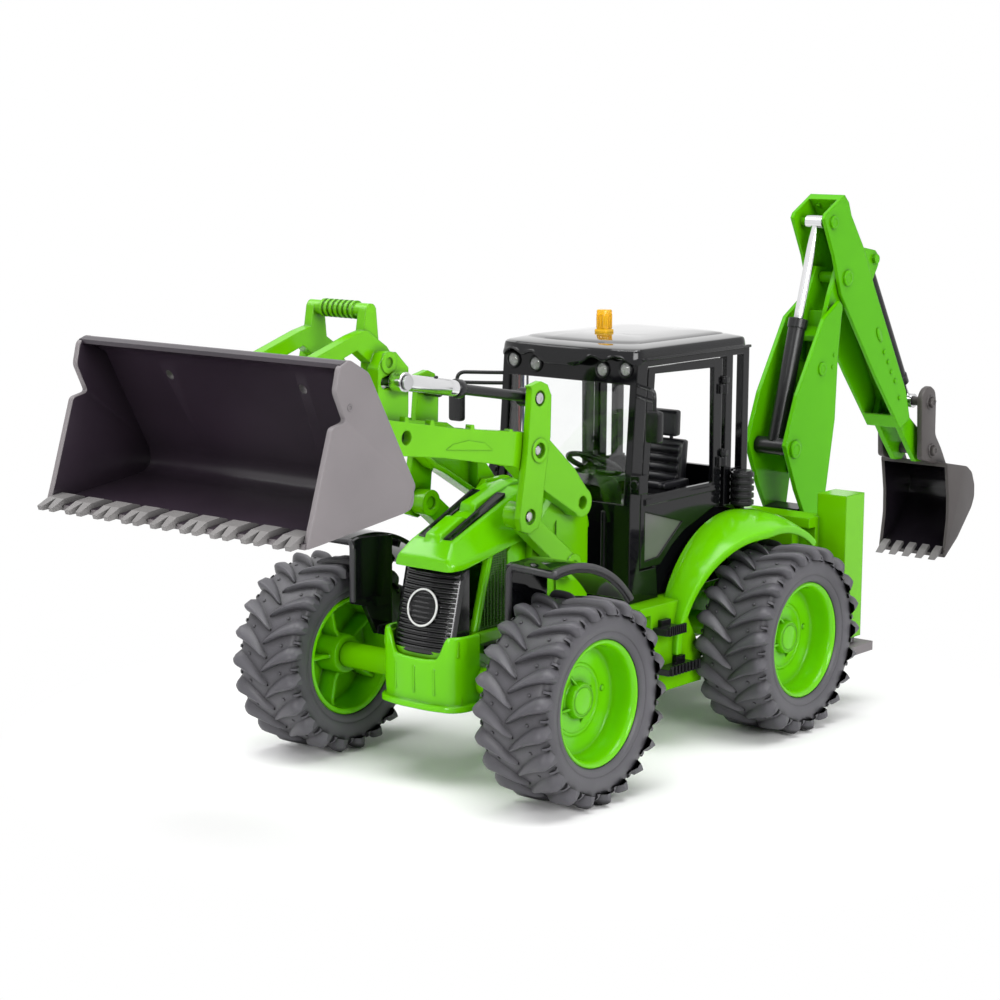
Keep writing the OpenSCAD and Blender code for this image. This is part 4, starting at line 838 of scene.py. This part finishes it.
def grilleFace(y, z):  # bowed front that leans back with height
    span = grille["high"] - grille["low"]
    bow = grille["bow"] * (abs(y) / grille["half"]) ** 2
    return grille["x"] - bow - grille["lean"] * (z - grille["low"]) / span


def makeGrille():
    spec = grille
    low, high, half, soft = (spec[key] for key in ("low", "high", "half", "soft"))
    bm = bmesh.new()
    heights = [low, low + soft] + [low + soft + (high - low - 1) * k / 8 for k in range(1, 9)] + [high]
    rows = []
    for i, z in enumerate(heights):
        sunk = soft if i in (0, len(heights) - 1) else 0.0
        face = [(grilleFace(y, z) - sunk - (spec["corner"] if abs(y) == half else 0), y, z) for y in acrossOf(half, 28)]
        rows.append([(spec["rear"], -half, z), *face, (spec["rear"], half, z)])
    ringGrid(bm, rows, caps=True)
    # rounded louvres between the plain borders
    inner = half - spec["border"]
    pitch = (high - low - 2 * spec["margin"]) / spec["louvres"]
    tall = pitch * 0.36
    shape = ((-tall, -0.4), (-tall * 0.9, 0.5), (-tall * 0.2, 1.15), (tall * 0.6, 1.05), (tall, 0.5),
             (tall * 1.05, -0.4))
    for i in range(spec["louvres"]):
        z = low + spec["margin"] + (i + 0.5) * pitch
        bar = []
        for y in acrossOf(inner, 30):
            fade = min(1.0, (inner - abs(y)) / 0.8 + 0.15)
            bar.append([(grilleFace(y, z + dz) + out * fade, y, z + dz) for dz, out in shape])
        ringGrid(bm, bar, caps=True)
    formPiece("grille-panel", bm, 40, "grilleBlack", "machine", "black_plastic", "grille")


def makeBadge():  # plain disc with a pale ring
    r, z = grille["badgeR"], grille["badgeZ"]
    out = (1, 0, grille["lean"] / (grille["high"] - grille["low"]))
    disc = [(r, -2.6), (r, 0.9), (r - 0.25, 1.4), (r - 0.8, 1.4), (r - 1.1, 1.0), (r - 1.3, 0.55), (r - 2.2, 0.45),
            (r * 0.4, 0.6), (0, 0.65)]
    ring = [(r - 0.05, 1.0), (r - 0.15, 1.45), (r - 0.4, 1.55), (r - 0.7, 1.55), (r - 0.95, 1.4), (r - 1.0, 0.9)]
    for name, profile, finish in (("grille-disc", disc, "glossBlack"), ("grille-ring", ring, "paleRing")):
        bm = bmesh.new()
        lathe(bm, (grilleFace(0, z), 0, z), out, profile, 48)
        formPiece(name, bm, 30, finish, "machine", "black_plastic")


makeGrille()
makeBadge()
print("grille made")

# roof, lamps and beacon

# a roof row has its inset, front, lift and share of the brow's wave
roof = {
    "half": 39.0, "back": -180.0, "low": 179.6, "top": 188.6, "turns": 220, "waveFrom": -93, "waveRun": 5,
    "rows": [(2.4, -84.8, 0.4, 0.0), (1.4, -83.2, -0.6, 1.0), (0.2, -82.0, -1.1, 1.0), (-0.9, -81.0, -0.7, 1.0),
        (-1.0, -80.9, 0.4, 0.8), (-0.7, -81.3, 1.6, 0.3), (-0.5, -81.6, 3.4, 0.0), (-0.2, -81.9, 4.6, 0.0),
        (0.3, -82.5, 5.2, 0.0), (1.2, -83.5, 5.6, 0.0), (3.4, -86.0, 6.1, 0.0), (6.2, -89.2, 6.8, 0.0),
        (6.8, -89.9, 6.8, 0.0), (7.6, -90.8, 7.4, 0.0), (11.0, -95.0, 8.0, 0.0), (17.0, -101.0, 8.7, 0.0),
        (25.0, -110.0, 9.0, 0.0)],
    "brow": [(0, -2.6), (8.5, -2.5), (12.2, -0.9), (17.4, 2.0), (23.4, 0.2), (26, 1.2), (30.4, 2.6), (35.5, 0.4),
        (38.5, -1.2), (42, -1.2)],
    "rail": [(-179, 38), (-92, 38), (-90.5, 40.4), (-93, 41), (-179, 41)],
    "railTall": 1.4, "topLift": 4.5, "lamps": ((-32.6, 175.6), (-19.5, 174.6), (19.5, 174.6), (32.6, 175.6)),
    "lampR": 3.9, "lampX": -91.72, "beaconX": -115.0, "beaconHalf": (2.7, 3.0), "beaconTall": 10.8, "footOut": 0.6,
    "flute": 0.45,
}


def evenLoop(loop, count):
    lengths = [(b - a).length for a, b in zip(loop, loop[1:] + loop[:1])]
    total = sum(lengths)
    made, i, passed = [], 0, 0.0
    for k in range(count):
        goal = total * k / count
        while passed + lengths[i] < goal:
            passed += lengths[i]
            i += 1
        made.append(loop[i].lerp(loop[(i + 1) % len(loop)], (goal - passed) / lengths[i]))
    return made


def roofLoop(inset, front):
    half, back = roof["half"] - inset, roof["back"] + inset
    corners = [(front - 6, -half), (front - 2, -half + 9), (front, -13), (front, 13), (front - 2, half - 9),
               (front - 6, half), (back + 4, half), (back, half - 6), (back, -half + 6), (back + 4, -half)]
    return evenLoop(roundCorners(corners, 4.5, 6), roof["turns"])


def makeRoof():
    bm = bmesh.new()
    low = roof["low"]
    rows = []
    for inset, front, lift, share in roof["rows"]:
        row = []
        for p in roofLoop(inset, front):
            ahead = min(max((p.x - roof["waveFrom"]) / roof["waveRun"], 0), 1)
            wave = curveAt(roof["brow"], abs(p.y)) * share * ahead
            row.append((p.x, p.y, low + lift * (1 if lift > 0 or ahead else 0.1) + wave))
        rows.append(row)
    ringGrid(bm, rows, around=True, caps=True)
    for s in (1, -1):  # rain rails along the sides
        rail = roundCorners([(x, s * y) for x, y in roof["rail"]], 0.6, 3)
        softPlate(bm, rail, low, low + roof["railTall"], 0.4, topView)
    bm.normal_update()
    for f in bm.faces:
        if abs(f.normal.z) > 0.75 and f.calc_center_median().z > low + roof["topLift"]:
            f.material_index = 1
    mesh = wear(meshFrom("roofShell", bm, 32), "roofGloss", "roofTop")
    makePiece("roof-shell", mesh, None, "machine", "gloss_black", "roof")


def makeRoofLamps():
    r = roof["lampR"]
    bezel = [(r, -0.4), (r, 3.9), (r - 0.2, 4.5), (r - 0.6, 4.7), (r - 0.9, 4.4), (r - 1.0, 3.6), (r - 1.0, 3.0)]
    bowl = [(r - 0.95, 3.4), (r - 1.4, 2.2), (r - 2.2, 1.3), (0.9, 0.9), (0.8, 2.0), (0.5, 2.3), (0, 2.35)]
    lens = [(r - 0.92, 3.3), (r - 0.95, 3.8), (r - 1.6, 4.3), (r - 2.6, 4.6), (0, 4.75), (0, 4.4), (r - 2.6, 4.25),
            (r - 1.6, 3.95), (r - 1.1, 3.4)]

    def lampForm(profile):
        bm = bmesh.new()
        for y, z in roof["lamps"]:
            lathe(bm, (roof["lampX"], y, z), (1, 0, 0), profile, 36)
        return bm

    formPiece("lamp-bezels", lampForm(bezel), 30, "blackPlastic", "machine", "black_plastic")
    formPiece("lamp-bowls", lampForm(bowl), 30, "lampSilver", "machine", "chromed_steel")
    formPiece("lamp-lenses", lampForm(lens), 40, "lampLens", "machine", "clear_lens", "roof_lamps")


def makeBeacon():
    wide, deep = roof["beaconHalf"]
    x, low, tall, r = (roof[key] for key in ("beaconX", "top", "beaconTall", "flute"))
    body, foot = bmesh.new(), bmesh.new()

    def beaconLoop(out, steps):
        a, b = wide + out, deep + out
        return roundCorners([(x - a, -b), (x + a, -b), (x + a, b), (x - a, b)], 1.2, steps)

    softPlate(body, beaconLoop(0, 5), low + 1.2, low + tall, 0.7, topView)
    for k in (-1, 0, 1):  # upright flutes on the four sides
        for s in (1, -1):
            for spot in ((x + k * 1.5, s * deep), (x + s * wide, k * 1.7)):
                lathe(body, (*spot, low + 2.2), (0, 0, 1), [(0, -0.3), (r, 0), (r, tall - 4.4), (0, tall - 4.0)], 10)
    softPlate(foot, beaconLoop(roof["footOut"], 4), low - 0.3, low + 1.6, 0.4, topView)
    formPiece("beacon-lens", body, 40, "amberPlastic", "machine", "amber_plastic", "beacon")
    formPiece("beacon-foot", foot, 30, "amberPlastic", "machine", "amber_plastic")


makeRoof()
makeRoofLamps()
makeBeacon()
print("roof, lamps and beacon made")

# seat, mirrors and wires

seat = {
    "cushion": [(-169, 98), (-138, 98), (-135.6, 102), (-138, 106.4), (-150, 106), (-164, 105.6), (-169, 108)],
    "back": [(-165.6, 103), (-159.8, 105), (-163.6, 133.4), (-168.4, 133.4)],
    "headrest": [(-168.4, 134.6), (-163.2, 134.6), (-164.2, 147), (-168.8, 147.6)],
    "pads": (("cushion", 14, 1.5, 2.6), ("back", 13, 1.4, 1.8), ("headrest", 8, 1.3, 1.8)), "rolls": 5,
    "rollAt": (-161.4, 110.4), "rollStep": (-0.62, 4.5), "rollR": 2.3, "rollHalf": 11.2,
    "plinth": [(-166, -11), (-142, -11), (-142, 11), (-166, 11)], "plinthTop": 98.6,
    "armrest": [(-161, 112), (-142, 112.2), (-141.4, 113.8), (-142.6, 115.4), (-161, 115.4)],
    "bracket": [(-166, 109), (-158, 109), (-158.4, 115), (-166, 114.6)], "stem": (-166, 4, 131),
}


def makeSeat():
    bm = bmesh.new()
    for key, half, soft, corner in seat["pads"]:
        softPlate(bm, roundCorners(seat[key], corner, 5), -half, half, soft, sideView)
    (x, z), (dx, dz) = seat["rollAt"], seat["rollStep"]
    for i in range(seat["rolls"]):  # stitched rolls of the backrest
        middle = Vector((x + dx * i, z + dz * i))
        roll = [middle + Vector((cos(t), sin(t))) * seat["rollR"] for t in turnsOf(20)]
        softPlate(bm, roll, -seat["rollHalf"], seat["rollHalf"], 0.9, sideView)
    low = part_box("seat")[0].z * 1000
    softPlate(bm, roundCorners(seat["plinth"], 2, 4), low, seat["plinthTop"], 0.5, topView)
    x, y, z = seat["stem"]
    for s in (1, -1):
        sidePlate(bm, roundCorners(seat["armrest"], 1.2, 4), s, 13.4, 17.2, 0.9)
        sidePlate(bm, roundCorners(seat["bracket"], 1, 3), s, 12.4, 15.0, 0.5)
        lathe(bm, (x, s * y, z), (0.03, 0, 1), [(0.9, 0), (0.9, 6)], 12)
    formPiece("driver-seat", bm, 32, "seatBlack", "machine", "black_plastic", "seat")


mirror = {
    "x": -76.0, "y": 57.5, "tube": 0.9, "headLow": 145.4, "headHigh": 160.0, "wide": 4.0, "deep": 1.8,
    "high": [(-90, 37.6, 168.8), (-85, 44, 168.8), (-76.0, 57.5, 168.8), (-76.0, 57.5, 158)],
    "low": [(-89.6, 37.6, 163.9), (-84.6, 44, 163.9), (-76.0, 57.5, 163.9)], "paneIn": 0.9, "pane": (2.0, 1.6),
}


def makeMirrors():
    heads, panes = bmesh.new(), bmesh.new()
    x, wide, low, high = (mirror[key] for key in ("x", "wide", "headLow", "headHigh"))

    def plate(bm, y, inset, corner, near, far, edge):
        a, b = y - wide + inset, y + wide - inset
        corners = [(a, low + inset), (b, low + inset), (b, high - inset), (a, high - inset)]
        softPlate(bm, roundCorners(corners, corner, 5), near, far, edge, frontView)

    for s, hand in hands:
        for key in ("high", "low"):
            run = [(rx, s * ry, rz) for rx, ry, rz in mirror[key]]
            tubePiece(f"mirror-rail-{key}-{hand}", run, mirror["tube"], "blackPlastic", "black_plastic")
        plate(heads, s * mirror["y"], 0, 1.8, x - mirror["deep"], x + mirror["deep"], 0.8)
        plate(panes, s * mirror["y"], mirror["paneIn"], 1.2, x - mirror["pane"][0], x - mirror["pane"][1], 0.1)
    formPiece("mirror-heads", heads, 32, "blackPlastic", "machine", "black_plastic", "mirrors")
    formPiece("mirror-panes", panes, 32, "chromedSteel", "machine", "chromed_steel")


wire = {
    "x": (-95.0, -98.2, -101.4), "y": -34.65, "top": 179.0, "turn": 118.0, "end": -20.6, "radius": 0.55, "sag": 1.4,
    "covers": {"wireRed": (0.3, 0.016, 0.016), "wireBlue": (0.02, 0.05, 0.3), "wireDark": (0.02, 0.02, 0.022)},
}


def makeWires():
    y, turn = wire["y"], wire["turn"]
    for i, (name, tone) in enumerate(wire["covers"].items()):
        mouldedPlastic(name, {"dark": tuple(c * 0.8 for c in tone), "light": tone, "rough": (0.38, 0.5), "bump": 0.02,
                              "edge": 0.0001})
        x = wire["x"][i]
        run = [(x, y, wire["top"]), (x + 0.4, y + 0.3, 160 + wire["sag"] * (i - 1)), (x - 0.3, y, 138),
               (x, y, turn + 3), (x, y + 4, turn - 0.4), (x, wire["end"], turn - 0.2)]
        tubePiece(f"wire-{i + 1}", run, wire["radius"], name, "wire_cover", *(("wires",) if i == 0 else ()))


makeSeat()
makeMirrors()
makeWires()
print("seat, mirrors and wires made")

# steering wheel and fender lips

steering = {
    "hub": (-107.85, 125.24), "dir": 118.0, "lift": 1.8, "ring": 12.5, "tube": 1.5, "flat": 0.85,
    "boss": [(3.6, -1.2), (3.6, 0.2), (3.0, 0.9), (1.6, 1.1), (0, 1.15)],
    "spoke": [(2.6, -1.5), (12.2, -1.0), (12.2, 1.0), (2.6, 1.5)],
}


def makeSteeringWheel():
    t = radians(steering["dir"])
    axis = Vector((cos(t), 0, sin(t)))
    side = Vector((sin(t), 0, -cos(t)))
    x, z = steering["hub"]
    centre = Vector((x, 0, z)) + axis * steering["lift"]
    ring, tube = steering["ring"], steering["tube"]

    def outward(angle):
        return side * cos(angle) + Vector((0, 1, 0)) * sin(angle)

    bm = bmesh.new()
    rows = []
    for a in turnsOf(56):
        out = outward(a)
        rows.append([centre + out * (ring + tube * cos(u)) + axis * (tube * steering["flat"] * sin(u))
                     for u in turnsOf(14)])
    ringGrid(bm, rows, closed=True, around=True)
    lathe(bm, centre, axis, steering["boss"], 28)
    for angle in (0, 120, 240):  # spokes
        out = outward(radians(angle))
        flat = axis.cross(out)
        softPlate(bm, roundCorners(steering["spoke"], 0.5, 3), -0.9, 0.5, 0.3,
                  lambda a, b, d: centre + out * a + flat * b + axis * d)
    formPiece("steering-ring", bm, 35, "blackPlastic", "steering", "black_plastic", "steering_wheel")


frontLip = {
    "r": 56.6, "y": 69.6, "z": 45.0, "from": 79.0, "to": 140.0, "steps": 24, "tube": 1.5,
    "front": [(11.2, 69.4, 99.6), (10.4, 46.4, 100.6), (11.0, 45.0, 98), (11.2, 44.9, 73)],
}


def makeFenderLips():
    spec = frontLip
    run = []
    for k in range(spec["steps"] + 1):
        t = radians(spec["to"] + (spec["from"] - spec["to"]) * k / spec["steps"])
        run.append((spec["r"] * cos(t), spec["y"], spec["z"] + spec["r"] * sin(t)))
    run += spec["front"]
    for s, hand in hands:
        line = [(x, s * y, z) for x, y, z in run]
        tubePiece(f"fender-lip-{hand}", line, spec["tube"], "satinBlack", "black_plastic")


makeSteeringWheel()
makeFenderLips()
print("steering wheel and fender lips made")

# screws, bosses and studs

screw = {
    "headR": 2.3, "slot": (0.55, 2.6), "slotDeep": 1.5, "sunk": 0.75, "cranks": ((-23.2, 145.6), (-17.4, 116.9)),
    "tilt": (-23.5, 168.4),
}


def screwMesh():
    head, cross = bmesh.new(), bmesh.new()
    r, deep = screw["headR"], screw["slotDeep"]
    profile = [(0, -1.0), (r, -1.0), (r, -0.1), (r * 0.9, 0.4), (r * 0.6, 0.75), (r * 0.25, 0.9), (0, 0.92)]
    lathe(head, (0, 0, 0), (0, 1, 0), profile, 32)
    wide, span = screw["slot"]
    for a, b in ((wide, span), (span, wide)):
        place = Matrix.Translation((0, deep / 2, 0)) @ Matrix.Diagonal((a, deep, b, 1))
        bmesh.ops.create_cube(cross, size=1, matrix=place)
    mesh = meshFrom("screwHead", head, 30, placed=False)
    return cutWith(mesh, meshFrom("screwCross", cross, 30, placed=False))


def copiesOf(name, form, spots):  # one mesh from turned copies of a form
    bm = bmesh.new()
    for turn in spots:
        first = len(bm.verts)
        bm.from_mesh(form)
        bm.verts.ensure_lookup_table()
        bmesh.ops.transform(bm, matrix=turn, verts=bm.verts[first:])
    mesh = bpy.data.meshes.new(name)
    bm.to_mesh(mesh)
    bm.free()
    return smooth(mesh, 32)


def facing(x, y, z, s, twist):  # places a form that looks along +y, on the left or the right side
    half = Matrix.Rotation(0 if s > 0 else pi, 4, "Z")
    return Matrix.Translation(at(x, s * y, z)) @ half @ Matrix.Rotation(radians(twist), 4, "Y")


def makeScrews():
    form = screwMesh()
    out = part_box("crank_screws")[1].y * 1000 - screw["sunk"]
    x, z = screw["tilt"]
    cranks = [facing(cx, out, cz, s, 20 + 35 * i) for s in (1, -1) for i, (cx, cz) in enumerate(screw["cranks"])]
    pins = [facing(x, out, z, s, 50) for s in (1, -1)]
    makePiece("crank-screw-heads", copiesOf("crankScrewHeads", form, cranks), "screwSteel", "cranks", "screw_steel",
              "crank_screws")
    makePiece("tilt-pin-heads", copiesOf("tiltPinHeads", form, pins), "screwSteel", "cranks", "screw_steel")


boomMarks = {
    "half": 12.8, "cap": (-264.6, 118.0), "high": (-289.6, 158.0), "dots": ((-301.2, 164.5), (-300.1, 158.2)),
    "dot": [(1.1, -0.3), (1.1, 0.3), (0.8, 0.5), (0, 0.52)],
}
dipperMarks = {
    "half": 10.5, "bosses": ((-301.0, 234.0, 3.5), (-316.5, 204.1, 4.3)), "oval": (-351.5, 171.4),
    "ovalHalf": (4.6, 2.0), "tilt": 57,
    "studs": ((-357.4, 161.6), (-362.1, 155.8), (-365.7, 150.0), (-370.4, 144.6), (-375.5, 134.7)),
    "stud": [(1.3, -0.3), (1.3, 0.4), (1.0, 0.75), (0.5, 0.9), (0, 0.92)],
}
hoeMarks = {"y": 15.6, "boltR": 3.0}


def domeCap(bm, x, y, z, s, r, tall):
    profile = [(r, -0.6), (r, tall * 0.55), (r - 0.15, tall * 0.85), (r - 0.5, tall), (r * 0.62, tall),
               (r * 0.55, tall * 0.75), (r * 0.3, tall * 0.7), (0, tall * 0.72)]
    lathe(bm, (x, s * y, z), (0, s, 0), profile, 32)


def makeBackhoeMarks():
    boom, dipper, bolts = bmesh.new(), bmesh.new(), bmesh.new()
    boomY, dipperY, r = boomMarks["half"], dipperMarks["half"], hoeMarks["boltR"]
    turn = Matrix.Rotation(radians(dipperMarks["tilt"]), 2)
    middle, (long, wide) = Vector(dipperMarks["oval"]), dipperMarks["ovalHalf"]
    oval = [middle + turn @ Vector((cos(t) * long, sin(t) * wide)) for t in turnsOf(28)]
    bolt = [(r, -0.5), (r, 0.8), (r - 0.3, 1.2), (r * 0.5, 1.3), (r * 0.42, 0.9), (0, 0.9)]
    for s in (1, -1):
        for key, out, size, tall in (("cap", 0.5, 4.6, 1.1), ("high", 0, 3.6, 0.9)):
            x, z = boomMarks[key]
            domeCap(boom, x, boomY + out, z, s, size, tall)
        for x, z in boomMarks["dots"]:
            lathe(boom, (x, s * boomY, z), (0, s, 0), boomMarks["dot"], 14)
        for x, z, size in dipperMarks["bosses"]:
            domeCap(dipper, x, dipperY + 0.3, z, s, size, 0.9)
        sidePlate(dipper, oval, s, dipperY - 0.3, dipperY + 0.6, 0.3)
        for x, z in dipperMarks["studs"]:
            lathe(dipper, (x, s * dipperY, z), (0, s, 0), dipperMarks["stud"], 16)
        for x, z in (hoeBucket["eye"], hoeBucket["pivot"]):
            lathe(bolts, (x, s * hoeMarks["y"], z), (0, s, 0), bolt, 6)
    formPiece("boom-bosses", boom, 30, "hoeGreenShaded", "boom_body", "green_plastic")
    formPiece("dipper-bosses", dipper, 30, "hoeGreenShaded", "dipper_body", "green_plastic")
    formPiece("hoe-bolts", bolts, 30, "hoeShadedGrey", "hoe", "bucket_grey")


makeScrews()
makeBackhoeMarks()
print("screws, bosses and studs made")

# floor, light and camera

studio = {
    "floorSize": 14.0, "floorTone": 0.96, "floorRough": 0.55, "floorSpecular": 0.25, "fadeMid": (0.057, 0.0, 0.0),
    "fadeFrom": 0.15, "fadeTo": 0.26, "ambient": 0.27,
}
lamps = {
    "keySide": {"place": (0.55, 1.6, 0.85), "aim": (0.05, 0, 0.1), "size": (1.1, 0.5), "power": 20},
    "topSheet": {"place": (0.25, 0.15, 1.9), "aim": (0.0, 0.0, 0.1), "size": (1.8, 1.0), "power": 34},
    "frontFill": {"place": (1.8, 0.1, 0.6), "aim": (0.1, 0, 0.1), "size": (0.55, 0.5), "power": 11},
    "farSheet": {"place": (0.7, -1.4, 1.6), "aim": (0.05, 0, 0.1), "size": (1.2, 0.6), "power": 12},
}


def seenPlainly(tree):  # 1 for the camera and for what it sees mirrored or through clear plastic
    path = addNode(tree, "ShaderNodeLightPath").outputs
    either = mathNode(tree, "MAXIMUM", path["Is Camera Ray"], path["Is Glossy Ray"])
    return mathNode(tree, "MAXIMUM", either, path["Is Transmission Ray"])


def mixInto(tree, share, first, second, output):
    mix = addNode(tree, "ShaderNodeMixShader", {"Fac": share, 1: first.outputs[0], 2: second.outputs[0]})
    feed(output, {"Surface": mix.outputs["Shader"]})


def makeFloor():
    half = studio["floorSize"] / 2
    mesh = bpy.data.meshes.new("studioFloor")
    mesh.from_pydata([(-half, -half, 0), (half, -half, 0), (half, half, 0), (-half, half, 0)], [], [(0, 1, 2, 3)])
    floor = newObject("studioFloor", mesh)
    tree, shader = startFinish("paleFloor")
    tone = studio["floorTone"]
    feed(shader, {"Base Color": rampOf(tree, noiseField(tree, 3, 2), (tone * 0.99,) * 3, (tone,) * 3),
                  "Roughness": studio["floorRough"], "Specular IOR Level": studio["floorSpecular"]})
    # plain white away from the object, the lit floor with its shadow near it
    centred = addNode(tree, "ShaderNodeVectorMath", {0: objectPlace(tree), 1: studio["fadeMid"]}, operation="SUBTRACT")
    reach = addNode(tree, "ShaderNodeVectorMath", {0: centred.outputs["Vector"]}, operation="LENGTH")
    fade = addNode(tree, "ShaderNodeMapRange", {"Value": reach.outputs["Value"], "From Min": studio["fadeFrom"],
                                                "From Max": studio["fadeTo"]})
    share = mathNode(tree, "MULTIPLY", fade.outputs["Result"], seenPlainly(tree))
    mixInto(tree, share, shader, addNode(tree, "ShaderNodeEmission"), tree.nodes["Material Output"])
    wear(mesh, "paleFloor")


def makeWorld():
    world = bpy.data.worlds.new("studioWorld")
    bpy.context.scene.world = world
    world.use_nodes = True
    tree = world.node_tree
    tree.nodes.clear()
    white = {"Color": (1, 1, 1, 1)}
    soft = addNode(tree, "ShaderNodeBackground", {**white, "Strength": studio["ambient"]})
    mixInto(tree, seenPlainly(tree), soft, addNode(tree, "ShaderNodeBackground", white),
            addNode(tree, "ShaderNodeOutputWorld"))


def makeLamps():
    for name, spec in lamps.items():
        data = bpy.data.lights.new(name, "AREA")
        data.shape = "RECTANGLE"
        data.size, data.size_y = spec["size"]
        data.energy = spec["power"]
        lamp = newObject(name, data)
        lamp.location = spec["place"]
        lamp.rotation_euler = (Vector(spec["aim"]) - Vector(spec["place"])).to_track_quat("-Z", "Y").to_euler()


shot = {
    "place": (794.154, 675.395, 295.233), "heading": 39.0614, "height": 9.3797, "roll": 0.3497, "focal": 2410.341,
    "frame": 1000, "sensor": 36, "far": 50,
}


def makeCamera():
    head, lift, roll = (radians(shot[k]) for k in ("heading", "height", "roll"))
    back = Vector((cos(head) * cos(lift), sin(head) * cos(lift), sin(lift)))
    right = (-back).cross(Vector((0, 0, 1))).normalized()
    up = right.cross(-back)
    right, up = cos(roll) * right + sin(roll) * up, cos(roll) * up - sin(roll) * right
    data = bpy.data.cameras.new("photoCamera")
    data.sensor_width = shot["sensor"]
    data.lens = shot["sensor"] * shot["focal"] / shot["frame"]
    data.clip_end = shot["far"]
    camera = newObject("photoCamera", data)
    turn = Matrix((right, up, back)).transposed().to_4x4()
    camera.matrix_world = Matrix.Translation(at(*shot["place"])) @ turn
    bpy.context.scene.camera = camera


makeFloor()
makeWorld()
makeLamps()
makeCamera()
bpy.context.scene.view_settings.view_transform = "Standard"
print("studio ready")
